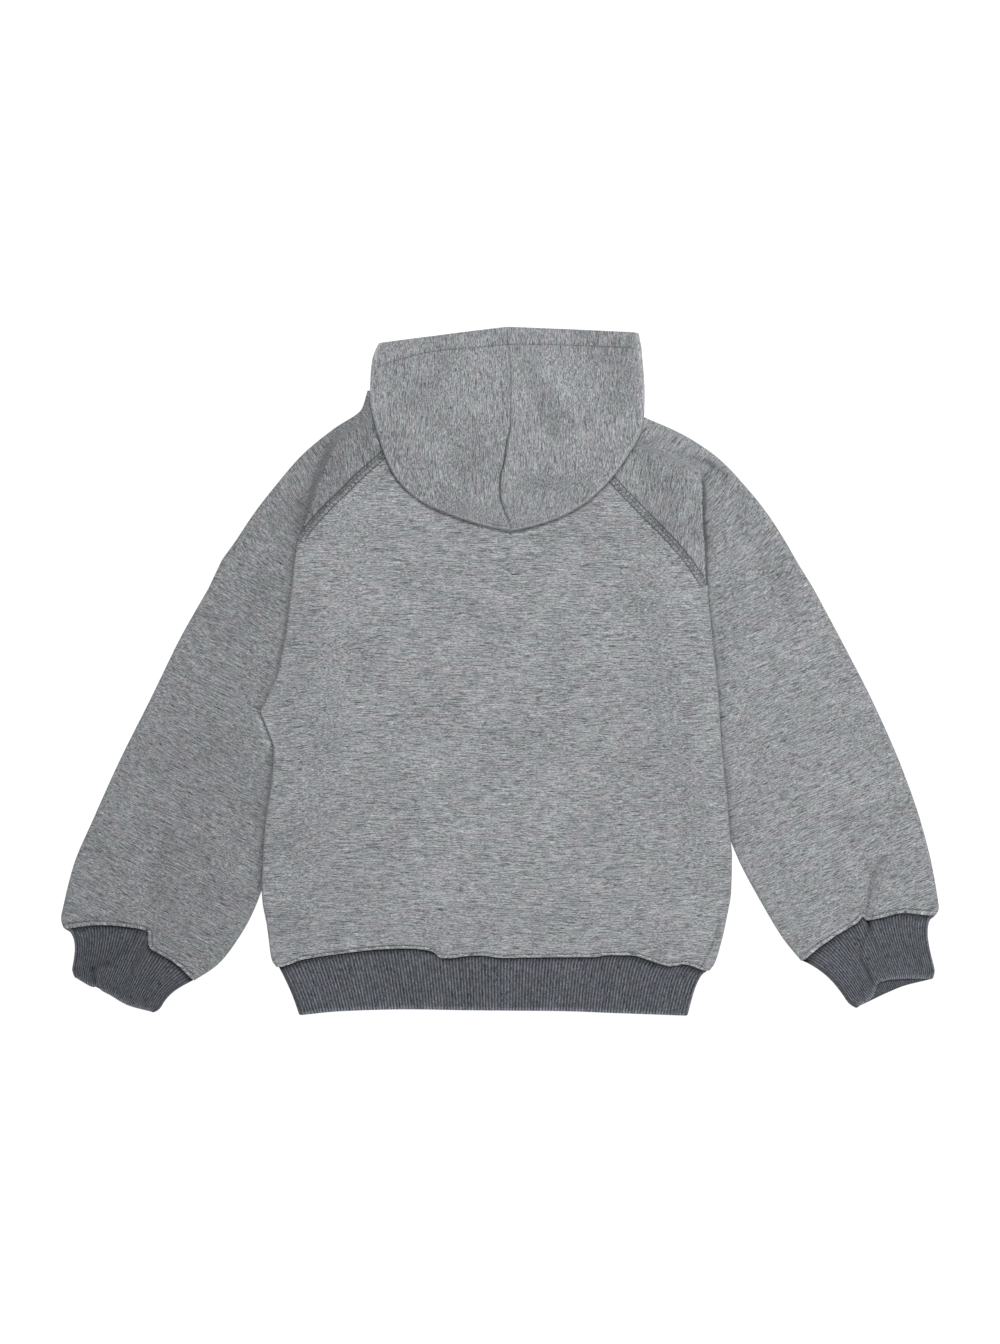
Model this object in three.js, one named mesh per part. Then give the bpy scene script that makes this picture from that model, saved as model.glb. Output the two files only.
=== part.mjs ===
// A toddler's pullover hoodie with raglan balloon sleeves, laid flat on its front with its back up.
// The sleeves are drawn down beside the body, which lies over their inner edges, and the hood is turned
// down over the back as a flattened pouch. Every piece of cloth is a wall with open edges, made from a
// sheet of points at the middle of the wall, and the layers lie on each other.
// Millimetres. X runs across the garment, +Y towards the hood, +Z up from the surface it lies on. The
// origin is on that surface, under the middle of the garment's box.

import * as THREE from 'three';

// The cloth and how it lies
const FLEECE = 2.0;               // wall of the brushed fleece
const RIB = 2.2;                  // wall of the doubled rib knit
const RIB_RELIEF = 0.5;           // how deep the rib's furrows are
const RIB_PITCH = 2.8;            // from one rib to the next
const SEAM = 0.3;                 // space between two sewn pieces
const LAYER = 2.6;                // from one laid layer to the next, between wall middles
const FOLD = LAYER / 2;           // middle radius of a layer folded back on itself
const RIB_LAYER = 2.8;            // the same between the rib's layers
const FIRST = FLEECE / 2;         // wall-middle heights of the four layers at the body's sides
const SECOND = FIRST + LAYER;
const PUFF = 2.4;                 // air under the top of a sleeve
const CROWN = 1.4;                // air under the middle of the back
const RAMP = 14;                  // over which a panel climbs onto the layers under it
const LEAD = 3;                   // flat strip before a fold's edge
const VALLEY_CLEAR = 6;           // from a pleat's valley to the end of the climb onto it
const SLEEVE_CLEAR = 2;           // from a sleeve's inner edge to the end of the climb onto it
const SIDE_STRIP = 5;             // least flat strip between a climb and the body's folded side
const EDGE_STRIP = 4;             // the same between a climb and a panel's own edge
const FREE_OVER = 30;             // over which a sleeve's top rises clear of the body's side
const CUFF_RIBS = 30;             // ribs across one side of a cuff
const DEG = Math.PI / 180;

// How many steps each stretch of a section has
const STEPS = { cap: 5, roll: 4, back: 2, top: 7, under: 5, halfRoll: 2, middle: 6, ramp: 3, flat: 2 };

// The sleeves' upper sections, from the neck down to the underarm. raglan and front are the ends on the
// back and front raglan seams, fold is the edge of the pleat that lies over the lower sleeve, outer is
// the sleeve's outer edge, angle is how far the pleat is folded over, and depth is how far it goes in.
const UPPER_RIGHT = [
  { raglan: [56, 175], fold: [70, 186], outer: [88, 200], front: [60, 162], angle: 0, depth: 2 },
  { raglan: [69, 162], fold: [90, 177], outer: [110, 190], front: [68, 148], angle: 0, depth: 2 },
  { raglan: [86, 142], fold: [119, 163], outer: [137, 178], front: [78, 132], angle: 12, depth: 2 },
  { raglan: [103, 124], fold: [150, 149], outer: [163, 161], front: [88, 117], angle: 75, depth: 1.6 },
  { raglan: [117, 110], fold: [154.5, 135], outer: [185, 138], front: [98, 103], angle: 150, depth: 3 },
  { raglan: [130, 96], fold: [154.3, 115], outer: [201, 118], front: [108, 88], angle: 176, depth: 8 },
  { raglan: [141, 82], fold: [154.5, 93], outer: [214, 98], front: [118, 74], angle: 180, depth: 13 },
  { raglan: [149.5, 69.5], fold: [155, 70], outer: [225, 79], front: [127, 66], angle: 180, depth: 17 },
];
const UPPER_LEFT = [
  { raglan: [-56, 192], fold: [-67, 200], outer: [-81, 209], front: [-60, 172], angle: 0, depth: 2 },
  { raglan: [-70, 179], fold: [-88, 188], outer: [-103, 198], front: [-69, 160], angle: 0, depth: 2 },
  { raglan: [-87, 163], fold: [-108, 174], outer: [-125, 182], front: [-79, 147], angle: 10, depth: 2 },
  { raglan: [-104, 148], fold: [-129, 158], outer: [-148, 163], front: [-90, 133], angle: 30, depth: 2 },
  { raglan: [-119, 133], fold: [-138, 139], outer: [-168, 140], front: [-101, 120], angle: 55, depth: 1.6 },
  { raglan: [-132, 120], fold: [-144, 121], outer: [-185, 118], front: [-111, 108], angle: 110, depth: 2 },
  { raglan: [-142, 109], fold: [-150, 104], outer: [-199, 97], front: [-121, 96], angle: 170, depth: 7 },
  { raglan: [-148.5, 95], fold: [-154, 92], outer: [-211, 79], front: [-129, 90], angle: 180, depth: 14 },
];

// The lower sleeves, closed round: the inner and outer edges of each section down to the cuff
const LOWER_RIGHT = [
  { inner: [134, 47], outer: [235, 63] },
  { inner: [139, 8], outer: [257, 22] },
  { inner: [145, -34], outer: [281, -25] },
  { inner: [156, -78], outer: [302, -73] },
  { inner: [169, -116], outer: [316, -113] },
  { inner: [179, -141], outer: [324, -144] },
  { inner: [196, -173], outer: [328, -166] },
  { inner: [213, -201], outer: [329, -177] },
  { inner: [226, -217], outer: [327, -182] },
];
const LOWER_LEFT = [
  { inner: [-136, 70], outer: [-219, 62] },
  { inner: [-142, 30], outer: [-240, 25] },
  { inner: [-149, -12], outer: [-262, -20] },
  { inner: [-152, -60], outer: [-286, -68] },
  { inner: [-160, -108], outer: [-305, -110] },
  { inner: [-174, -150], outer: [-320, -145] },
  { inner: [-186, -182], outer: [-327, -172] },
  { inner: [-205, -211], outer: [-329, -184] },
  { inner: [-231, -230], outer: [-328, -192] },
];
const LOWER_ROWS = 14;            // sections made from each of the two tables above
const BENT_ROWS = 5;              // the last of them, which bend onto the cuff seam
const CUFF_PUFF = 0.5;            // share of the puff that is left at the cuff
const GROWING = [2, 6];           // upper sections over which the puff grows
const CUFF_SEAM_RIGHT = [[226, -217], [238, -207], [254, -196], [276, -186], [304, -180], [327, -182]];
const CUFF_SEAM_LEFT = [[-231, -230], [-247, -216], [-260, -208], [-264, -196], [-302, -189],
  [-328, -192]];

// The sides of the body where it lies over the sleeves, and past them down to the hem seam
const SIDE_RIGHT = [[155, 72], [156, 56], [160, 19], [164, -18], [166, -55], [170, -92], [172, -117],
  [174, -136], [174, -151], [173, -166], [171, -177], [165, -196], [159, -216], [154, -227]];
const SIDE_LEFT = [[-154, 90], [-156, 66], [-161, 26], [-167, -3], [-175, -21], [-180, -30], [-176, -40],
  [-170, -55], [-170, -67], [-172, -87], [-176, -112], [-178, -139], [-179, -162], [-178, -174],
  [-175, -190], [-171, -212], [-169, -221]];

// Sections of the body under the arms: heights of the two ends, how far each side is lifted by the sleeve
// under it (1 is both of the sleeve's layers), how far inside the folded edge the side seams lie on the
// underside, and how far inside the sleeve's edge the panel starts to climb
const BODY_ROWS = [
  { left: 75, right: 54, liftLeft: 1, liftRight: 1, seam: 22, clear: 6 },
  { left: 52, right: 36, liftLeft: 1, liftRight: 1, seam: 16, clear: 4 },
  { left: 26, right: 13, liftLeft: 1, liftRight: 1, seam: 9, clear: 2 },
  { left: 0, right: -10, liftLeft: 1, liftRight: 1, seam: 3, clear: 0 },
  { left: -19, right: -30, liftLeft: 1, liftRight: 1, seam: 3, clear: 0 },
  { left: -30, right: -43, liftLeft: 1, liftRight: 1, seam: 3, clear: 0 },
  { left: -44, right: -58, liftLeft: 1, liftRight: 1, seam: 3, clear: 0 },
  { left: -64, right: -76, liftLeft: 1, liftRight: 1, seam: 3, clear: 0 },
  { left: -90, right: -98, liftLeft: 1, liftRight: 1, seam: 3, clear: 0 },
  { left: -118, right: -120, liftLeft: 1, liftRight: 1, seam: 3, clear: 0 },
  { left: -142, right: -137, liftLeft: 1, liftRight: 1, seam: 3, clear: 0 },
  { left: -160, right: -153, liftLeft: 1, liftRight: 0.4, seam: 3, clear: 0 },
  { left: -174, right: -170, liftLeft: 1, liftRight: 0, seam: 3, clear: 0 },
  { left: -190, right: -188, liftLeft: 0.4, liftRight: 0, seam: 3, clear: 0 },
  { left: -206, right: -207, liftLeft: 0, liftRight: 0, seam: 3, clear: 0 },
  { left: -221, right: -227, liftLeft: 0, liftRight: 0, seam: 3, clear: 0 },
];
const BACK_NECK_DROP = [-4, -3, -2, -1, 0, 0, 0, 0];
const FRONT_NECK_DROP = [-15, -11, -7, -4, -1, 0, 0, 0];
const HEM_SHARE = [0.4, 1];       // how far the last two sections follow the hem's curve

// Where the middle of the back stands off the layers under it: below top and above foot, and inside side,
// each over its own distance
const CROWNED = { top: 95, topOver: 60, foot: -227, footOver: 30, side: 150, sideOver: 90 };

// The hem: its seam with the body and its lower edge
const HEM_SEAM = [[-169, -221], [-134, -210], [-76, -207], [-52, -209], [-40, -215], [-20, -213],
  [38, -214], [95, -214], [118, -219], [136, -220], [154, -227]];
const HEM_LOW = [[-148, -256], [-24, -255.5], [140, -257.5]];

// The cuffs: their lower edges, from the inner side of the sleeve to the outer one. The mouth of the right
// cuff's under layer reaches further out than the top layer does.
const CUFF_MOUTH_RIGHT = { top: [[266, -252], [276, -242], [288, -233], [306, -231], [324, -229]],
  under: [[268, -252.5], [290, -241], [305, -235], [323, -230]] };
const CUFF_MOUTH_LEFT = { top: [[-259, -253], [-278, -248], [-294, -240], [-303, -234], [-319, -228]],
  under: [[-259, -253], [-278, -247], [-294, -239], [-303, -233], [-319, -228]] };

// The hood's sections, from the face opening to the tip of the crown: crown is the centre seam on the top
// layer, right and left are the folded sides, neckRight and neckLeft are the ends on the neck seam and
// then on the centre seam of the under layer. top is the height of the top layer at the centre, under is
// the height of the under layer, and roll is the side's middle radius.
const HOOD = [
  { crown: [5, 257.6], right: [104, 254], left: [-91, 246], neckRight: [7, 154], neckLeft: [3, 154.5],
    top: 15, under: 1, roll: 2.6 },
  { crown: [6, 245], right: [106, 243], left: [-93.5, 241], neckRight: [34, 157], neckLeft: [-26, 161],
    top: 16, under: 1, roll: 3.2 },
  { crown: [7, 236], right: [107, 231], left: [-95.5, 235], neckRight: [57, 167], neckLeft: [-55, 179],
    top: 17, under: 1, roll: 3.8 },
  { crown: [8, 228], right: [108, 220], left: [-97, 223], neckRight: [93, 209], neckLeft: [-79.5, 214.5],
    top: 18, under: 1, roll: 4.3 },
  { crown: [8, 221], right: [108.3, 213], left: [-97.4, 215], neckRight: [92, 204.5],
    neckLeft: [-80.5, 211.8], top: 18.6, under: 6.2, roll: 2.1 },
  { crown: [8, 213], right: [108.3, 206], left: [-97.5, 209], neckRight: [73, 190.5], neckLeft: [-69, 203],
    top: 19, under: 6.2, roll: 2.5 },
  { crown: [8, 200], right: [108, 193], left: [-97, 200], neckRight: [57, 177], neckLeft: [-56, 193.5],
    top: 20, under: 6.2, roll: 2.9 },
  { crown: [8, 186], right: [105, 178], left: [-94, 186], neckRight: [30, 172], neckLeft: [-28, 178],
    top: 20, under: 6.2, roll: 3.1 },
  { crown: [5, 171], right: [96, 162], left: [-89, 169], neckRight: [6, 170], neckLeft: [6, 170],
    top: 19, under: 6.2, roll: 3.2 },
  { crown: [3, 157], right: [82, 143], left: [-80, 148], neckRight: [6, 155], neckLeft: [6, 155],
    top: 17.5, under: 6.2, roll: 3 },
  { crown: [0, 144], right: [64, 126.5], left: [-62, 129.5], neckRight: [6, 140], neckLeft: [6, 140],
    top: 16, under: 6.2, roll: 2.8 },
  { crown: [0, 132], right: [44, 115.5], left: [-35, 117], neckRight: [7, 128], neckLeft: [7, 128],
    top: 15, under: 6.2, roll: 2.6 },
  { crown: [3, 121], right: [26, 109.5], left: [-10, 109], neckRight: [7, 118], neckLeft: [7, 118],
    top: 14, under: 6.2, roll: 2.3 },
  { crown: [7.5, 110], right: [8.5, 105], left: [8, 105], neckRight: [8, 110], neckLeft: [8, 110],
    top: 10.4, under: 6.2, roll: 2.1 },
];

const NECK_END = 7;               // the last of those sections that ends on the neck seam
const SIDE_FALL = 2.2;            // power by which the top layer falls, late, to its folded side
const TIP_SECTIONS = 3;           // over which the folds fade out towards the tip

// The largest soft folds of the top layers: ends of the line, half width, and height (a furrow is below 0)
const SLEEVE_FOLDS_RIGHT = [
  { from: [177, 136], to: [219, 48], width: 9, height: -1.6 },
  { from: [190, 118], to: [232, 30], width: 10, height: 1 },
  { from: [288, -142], to: [275, -180], width: 5, height: -2.2 },
  { from: [276, -138], to: [264, -180], width: 8, height: 2 },
  { from: [205, -60], to: [262, -44], width: 12, height: 1.2 },
];
const SLEEVE_FOLDS_LEFT = [
  { from: [-165, 96], to: [-196, 36], width: 8, height: -1.4 },
  { from: [-200, -122], to: [-196, -150], width: 6, height: -1.8 },
  { from: [-216, -112], to: [-212, -160], width: 9, height: 1.6 },
  { from: [-190, -30], to: [-258, -52], width: 12, height: 1.2 },
];
const BACK_FOLDS = [
  { from: [-179, -30], to: [-128, -22], width: 7, height: 1.2 },
  { from: [-50, -206], to: [-46, -184], width: 6, height: 1.4 },
  { from: [120, -214], to: [112, -190], width: 7, height: 1.2 },
];
const HOOD_FOLDS = [
  { from: [31, 233], to: [64, 160], width: 11, height: 2.6 },
  { from: [19, 233], to: [39, 178], width: 7, height: -2.2 },
  { from: [-44, 233], to: [-68, 196], width: 9, height: -2 },
  { from: [-8, 178], to: [-30, 148], width: 13, height: -1.6 },
  { from: [14, 148], to: [80, 148], width: 8, height: 1.4 },
];

// Small helpers
const lerp = (a, b, t) => a + (b - a) * t;
const mix = (p, q, t) => p.map((v, i) => lerp(v, q[i], t));
const clamp01 = (t) => Math.min(1, Math.max(0, t));
const smooth = (t) => clamp01(t) ** 2 * (3 - 2 * clamp01(t));
const range = (n) => [...Array(n).keys()];

function unit(from, to) {
  const length = Math.hypot(to[0] - from[0], to[1] - from[1]);
  return [(to[0] - from[0]) / length, (to[1] - from[1]) / length];
}

const shift = (p, u, d) => [p[0] + u[0] * d, p[1] + u[1] * d];

// Point at share t of a line of points, by their even share of its length
function along(line, t) {
  const lengths = range(line.length - 1).map((i) => Math.hypot(line[i + 1][0] - line[i][0],
    line[i + 1][1] - line[i][1]));
  let left = clamp01(t) * lengths.reduce((a, b) => a + b, 0);
  let i = 0;
  while (i < lengths.length - 1 && left > lengths[i]) {
    left -= lengths[i];
    i += 1;
  }
  return mix(line[i], line[i + 1], Math.min(1, left / lengths[i]));
}

// Where a line of points that runs down crosses the height y
function acrossAt(line, y) {
  let i = 0;
  while (i < line.length - 2 && line[i + 1][1] > y) i += 1;
  const t = clamp01((y - line[i][1]) / (line[i + 1][1] - line[i][1]));
  return lerp(line[i][0], line[i + 1][0], t);
}

// Where a line of points that runs across reaches x, as its height
function heightAt(line, x) {
  let i = 0;
  while (i < line.length - 2 && line[i + 1][0] < x) i += 1;
  const t = clamp01((x - line[i][0]) / (line[i + 1][0] - line[i][0]));
  return lerp(line[i][1], line[i + 1][1], t);
}

// Height that the soft folds of a list add at a point
function foldHeight(folds, x, y) {
  let sum = 0;
  for (const { from, to, width, height } of folds) {
    const span = [to[0] - from[0], to[1] - from[1]];
    const square = span[0] ** 2 + span[1] ** 2;
    const t = clamp01(((x - from[0]) * span[0] + (y - from[1]) * span[1]) / square);
    const distance = Math.hypot(x - from[0] - span[0] * t, y - from[1] - span[1] * t);
    sum += height * Math.exp(-((distance / width) ** 2));
  }
  return sum;
}

// A table's sections brought to a given number, smoothly, for two named columns of points
function resample(table, names, count) {
  const curves = names.map((name) => new THREE.CatmullRomCurve3(
    table.map((row) => new THREE.Vector3(row[name][0], row[name][1], 0)), false, 'centripetal'));
  return range(count).map((i) => {
    const points = curves.map((curve) => curve.getPoint(i / (count - 1)));
    return Object.fromEntries(names.map((name, n) => [name, [points[n].x, points[n].y]]));
  });
}

// A wall of cloth, from sheets of points at its middle. Points in the same place are one point.
class Wall {
  constructor() {
    this.points = [];
    this.relief = [];
    this.faces = [];
    this.known = new Map();
    this.upright = new Set();
  }

  add(point) {
    const key = point.slice(0, 3).map((v) => Math.round(v * 1000)).join(' ');
    if (!this.known.has(key)) {
      this.known.set(key, this.points.length);
      this.points.push(new THREE.Vector3(point[0], point[1], point[2]));
      this.relief.push(point[3] ?? 0);
    }
    return this.known.get(key);
  }

  face(a, b, c) {
    if (a !== b && b !== c && a !== c) this.faces.push([a, b, c]);
  }

  // Rows of points with a face between each four. flip turns the outside over.
  sheet(rows, flip) {
    const ids = rows.map((row) => row.map((point) => this.add(point)));
    for (const r of range(ids.length - 1)) {
      for (const c of range(ids[r].length - 1)) {
        const [a, b, c1, d] = [ids[r][c], ids[r][c + 1], ids[r + 1][c + 1], ids[r + 1][c]];
        this.face(a, flip ? c1 : b, flip ? b : c1);
        this.face(a, flip ? d : c1, flip ? c1 : d);
      }
    }
  }

  normals() {
    const sums = this.points.map(() => new THREE.Vector3());
    const [u, v] = [new THREE.Vector3(), new THREE.Vector3()];
    for (const [a, b, c] of this.faces) {
      u.subVectors(this.points[b], this.points[a]);
      v.subVectors(this.points[c], this.points[a]);
      u.cross(v);
      for (const i of [a, b, c]) sums[i].add(u);
    }
    for (const i of this.upright) sums[i].x = 0;
    return sums.map((sum) => sum.normalize());
  }

  // The closed solid: outer and inner sides, and a rim along every open edge
  geometry(thickness) {
    const count = this.points.length;
    const normals = this.normals();
    const place = (side) => this.points.flatMap((p, i) => {
      const reach = side * thickness / 2 + (side > 0 ? this.relief[i] : 0);
      return p.clone().addScaledVector(normals[i], reach).toArray();
    });
    const positions = [...place(1), ...place(-1)];
    const triangles = [];
    const edges = new Map();
    for (const [a, b, c] of this.faces) {
      triangles.push(a, b, c, c + count, b + count, a + count);
      for (const [from, to] of [[a, b], [b, c], [c, a]]) {
        if (!edges.delete(`${to} ${from}`)) edges.set(`${from} ${to}`, [from, to]);
      }
    }
    for (const [a, b] of edges.values()) {
      triangles.push(b, a, a + count, b, a + count, b + count);
    }
    const geometry = new THREE.BufferGeometry();
    geometry.setAttribute('position', new THREE.Float32BufferAttribute(positions, 3));
    geometry.setIndex(triangles);
    geometry.computeVertexNormals();
    return geometry;
  }
}

// Points between two plan points, with the height given by a function of the point and its share
function stretch(from, to, steps, height) {
  return range(steps).map((i) => {
    const t = (i + 1) / steps;
    const [x, y] = mix(from, to, t);
    return [x, y, height(x, y, t)];
  });
}

// Part of a round fold in the upright plane along u, from one turn to another in degrees
function roll(centre, u, z, radius, from, to, steps) {
  return range(steps).map((i) => {
    const turn = lerp(from, to, (i + 1) / steps) * DEG;
    return [...shift(centre, u, radius * Math.cos(turn)), z + radius * Math.sin(turn)];
  });
}

// The pleat's section from the start of its upper edge: distance out and height, folded over by an angle
function pleat(angle, depth) {
  const turn = angle * DEG;
  const chord = LAYER / (2 * (Math.sin(22.5 * DEG) + Math.sin(67.5 * DEG)));
  const path = [[0, 0]];
  const step = (length, heading) => {
    const [out, up] = path[path.length - 1];
    path.push([out + length * Math.cos(heading), up - length * Math.sin(heading)]);
  };
  for (const i of range(STEPS.roll)) step(chord, turn * (i + 0.5) / STEPS.roll);
  for (const _ of range(STEPS.back)) step(depth / STEPS.back, turn);
  for (const i of range(STEPS.roll).reverse()) step(chord, turn * (i + 0.5) / STEPS.roll);
  return path;
}

// Where a section's pleat starts, how far it drops and where the climb onto it ends
function pleatPlaces(row) {
  const out = unit(row.fold, row.outer);
  const path = pleat(row.angle, row.depth);
  const reach = FOLD * Math.sin(Math.min(row.angle, 90) * DEG) + FLEECE / 2;
  const start = shift(row.fold, out, -reach);
  const inner = Math.min(...path.map((p) => p[0]));
  const valley = shift(start, out, inner);
  const climbEnd = Math.abs(valley[0]) - FLEECE / 2 - VALLEY_CLEAR;
  return { out, path, start, drop: -path[path.length - 1][1], climbEnd };
}

// Share of a climb that is done at x, for a climb that ends at climbEnd from the middle
const climb = (x, climbEnd) => smooth((Math.abs(x) - (climbEnd - RAMP)) / RAMP);

// One upper section of a sleeve, from the back raglan seam round to the front one. grown is how much of
// the sleeve's puff it has.
function upperSection(row, grown, side, folds, free) {
  const { out, path, start, drop, climbEnd } = pleatPlaces(row);
  const gap = SEAM / 2 * Math.SQRT1_2;
  const raglan = [row.raglan[0] + side * gap, row.raglan[1] + gap];
  const front = [row.front[0] + side * gap, row.front[1] + gap];
  const capHeight = (x) => SECOND + drop * climb(x, climbEnd);
  const cap = [[...raglan, capHeight(raglan[0])], ...stretch(raglan, start, STEPS.cap, capHeight)];
  const top = cap[cap.length - 1][2];
  const folded = path.slice(1).map(([distance, up]) => [...shift(start, out, distance), top + up]);
  const foot = folded[folded.length - 1];
  const across = unit(foot, row.outer);
  const edge = shift(row.outer, across, -(FLEECE / 2 + FOLD));
  const topHeight = (x, y, t) => lerp(foot[2], SECOND, smooth(t * 2))
    + grown * free(x, y) * Math.sin(Math.PI * t) * (PUFF + foldHeight(folds, x, y));
  return [...cap, ...folded,
    ...stretch(foot.slice(0, 2), edge, STEPS.top, topHeight),
    ...roll(edge, across, FIRST + FOLD, FOLD, 90, -90, STEPS.roll),
    ...stretch(edge, front, STEPS.under + STEPS.halfRoll, () => FIRST)];
}

// One lower section of a sleeve, closed round, starting at its inner edge. bend moves its middle.
function lowerSection(row, bend, folds, puff, free) {
  const out = unit(row.inner, row.outer);
  const near = shift(row.inner, out, FLEECE / 2 + FOLD);
  const far = shift(row.outer, out, -(FLEECE / 2 + FOLD));
  const middle = FIRST + FOLD;
  const bent = (points, start, end) => points.map(([x, y, z], i) => {
    const [dx, dy] = bend(lerp(start, end, (i + 1) / points.length));
    return [x + dx, y + dy, z];
  });
  const topHeight = (x, y, t) => SECOND
    + free(x, y) * Math.sin(Math.PI * t) * (puff + foldHeight(folds, x, y));
  const inner = [...shift(near, out, -FOLD), middle];
  return [inner,
    ...roll(near, out, middle, FOLD, 180, 90, STEPS.halfRoll),
    ...bent(stretch(near, far, STEPS.top, topHeight), 0, 1),
    ...roll(far, out, middle, FOLD, 90, -90, STEPS.roll),
    ...bent(stretch(far, near, STEPS.under, () => FIRST), 1, 0),
    ...roll(near, out, middle, FOLD, -90, -135, 1),
    inner];
}

// How far the top of a sleeve is free of the body's side that lies over its inner edge, from 0 to 1
const freeOf = (sideLine) => (x, y) => smooth((Math.abs(x) - Math.abs(acrossAt(sideLine, y)))
  / FREE_OVER);

// The closed sections of a lower sleeve. The last ones bend onto the cuff seam and flatten towards it.
function lowerSections(lower, cuffSeam, sideLine, folds) {
  return resample(lower, ['inner', 'outer'], LOWER_ROWS).map((row, i) => {
    const share = smooth((i - (LOWER_ROWS - 1 - BENT_ROWS)) / BENT_ROWS);
    const [start, end] = [cuffSeam[0], cuffSeam[cuffSeam.length - 1]];
    const bend = (t) => {
      const [straight, real] = [mix(start, end, t), along(cuffSeam, t)];
      return [share * (real[0] - straight[0]), share * (real[1] - straight[1])];
    };
    return lowerSection(row, bend, folds, PUFF * lerp(1, CUFF_PUFF, share), freeOf(sideLine));
  });
}

// A whole sleeve. side is 1 on the right and -1 on the left.
function sleeve({ upper, closed, side, folds, sideLine }) {
  const wall = new Wall();
  const flip = side > 0;
  const first = STEPS.cap + STEPS.roll + STEPS.back + STEPS.halfRoll;
  const upperRows = upper.map((row, i) => {
    const grown = smooth((i - GROWING[0]) / (GROWING[1] - GROWING[0]));
    return upperSection(row, grown, side, folds, freeOf(sideLine));
  });
  wall.sheet(upperRows, flip);
  wall.sheet([upperRows[upperRows.length - 1].slice(first), ...closed], flip);
  return wall.geometry(FLEECE);
}

// Places across one section of the body: flat strips at the sides, the climbs, and the middle
function acrossBody(left, right, climbLeft, climbRight) {
  const half = (edge, climbEnd) => {
    const end = Math.min(climbEnd, Math.abs(edge) - EDGE_STRIP);
    const sign = Math.sign(edge);
    return [...range(STEPS.flat).map((i) => sign * lerp(Math.abs(edge), end, i / STEPS.flat)),
      ...range(STEPS.ramp).map((i) => sign * (end - RAMP * i / STEPS.ramp)), sign * (end - RAMP)];
  };
  const [low, high] = [half(left, climbLeft), half(right, climbRight).reverse()];
  const middle = range(STEPS.middle - 1)
    .map((i) => lerp(low[low.length - 1], high[0], (i + 1) / STEPS.middle));
  return [...low, ...middle, ...high];
}

// Every section of the body, with its ends, climbs and heights, for the back and for the front
function bodySections() {
  const upper = UPPER_RIGHT.map((right, i) => {
    const left = UPPER_LEFT[i];
    const [placesLeft, placesRight] = [pleatPlaces(left), pleatPlaces(right)];
    const gap = SEAM / 2 * Math.SQRT1_2;
    const inside = (p, side) => [p[0] - side * gap, p[1] - gap];
    return { backLeft: inside(left.raglan, -1), backRight: inside(right.raglan, 1),
      frontLeft: inside(left.front, -1), frontRight: inside(right.front, 1),
      climbLeft: placesLeft.climbEnd, climbRight: placesRight.climbEnd,
      dropLeft: placesLeft.drop, dropRight: placesRight.drop, frontDrops: [0, 0],
      backNeck: BACK_NECK_DROP[i], frontNeck: FRONT_NECK_DROP[i],
      starts: [placesLeft.start, placesRight.start], returns: [left.depth, right.depth] };
  });
  const insideSleeve = (lower, y) => Math.abs(acrossAt(lower.map((row) => row.inner), y)) + FLEECE / 2;
  const lowerPart = BODY_ROWS.map((row, i) => {
    const [leftFold, rightFold] = [acrossAt(SIDE_LEFT, row.left), acrossAt(SIDE_RIGHT, row.right)];
    const startLeft = leftFold + FOLD + FLEECE / 2;
    const startRight = rightFold - FOLD - FLEECE / 2;
    const hemRow = i - (BODY_ROWS.length - HEM_SHARE.length);
    return { backLeft: [startLeft + LEAD, row.left], backRight: [startRight - LEAD, row.right],
      frontLeft: [startLeft + row.seam + SEAM, row.left],
      frontRight: [startRight - row.seam - SEAM, row.right],
      climbLeft: Math.min(insideSleeve(LOWER_LEFT, row.left) - SLEEVE_CLEAR - row.clear,
        -startLeft - LEAD - SIDE_STRIP),
      climbRight: Math.min(insideSleeve(LOWER_RIGHT, row.right) - SLEEVE_CLEAR - row.clear,
        startRight - LEAD - SIDE_STRIP),
      dropLeft: 2 * LAYER * row.liftLeft, dropRight: 2 * LAYER * row.liftRight,
      frontDrops: [2 * LAYER * row.liftLeft, 2 * LAYER * row.liftRight],
      backNeck: 0, frontNeck: 0, onHem: HEM_SHARE[hemRow] ?? 0,
      starts: [[startLeft, row.left], [startRight, row.right]], returns: [row.seam, row.seam] };
  });
  return [...upper, ...lowerPart];
}

// Plan height of a section at x: straight between its ends, dipped at the neck, on the hem seam below
function planHeight(section, ends, neck, x) {
  const t = clamp01((x - ends[0][0]) / (ends[1][0] - ends[0][0]));
  const straight = lerp(ends[0][1], ends[1][1], t) + neck * (1 - (2 * t - 1) ** 2);
  const hem = heightAt(HEM_SEAM, x) - lerp(HEM_SEAM[0][1], HEM_SEAM[HEM_SEAM.length - 1][1], t);
  return straight + (section.onHem ?? 0) * hem;
}

// The points of a section of the back or front panel, with the height given by a function
function panelRow(section, ends, neck, heightOf) {
  return acrossBody(ends[0][0], ends[1][0], section.climbLeft, section.climbRight).map((x) => {
    const y = planHeight(section, ends, neck, x);
    return [x, y, heightOf(section, x, y)];
  });
}

const backRow = (section, heightOf) => panelRow(section, [section.backLeft, section.backRight],
  section.backNeck, heightOf);
const frontRow = (section, heightOf) => panelRow(section, [section.frontLeft, section.frontRight],
  section.frontNeck, heightOf);

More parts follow.
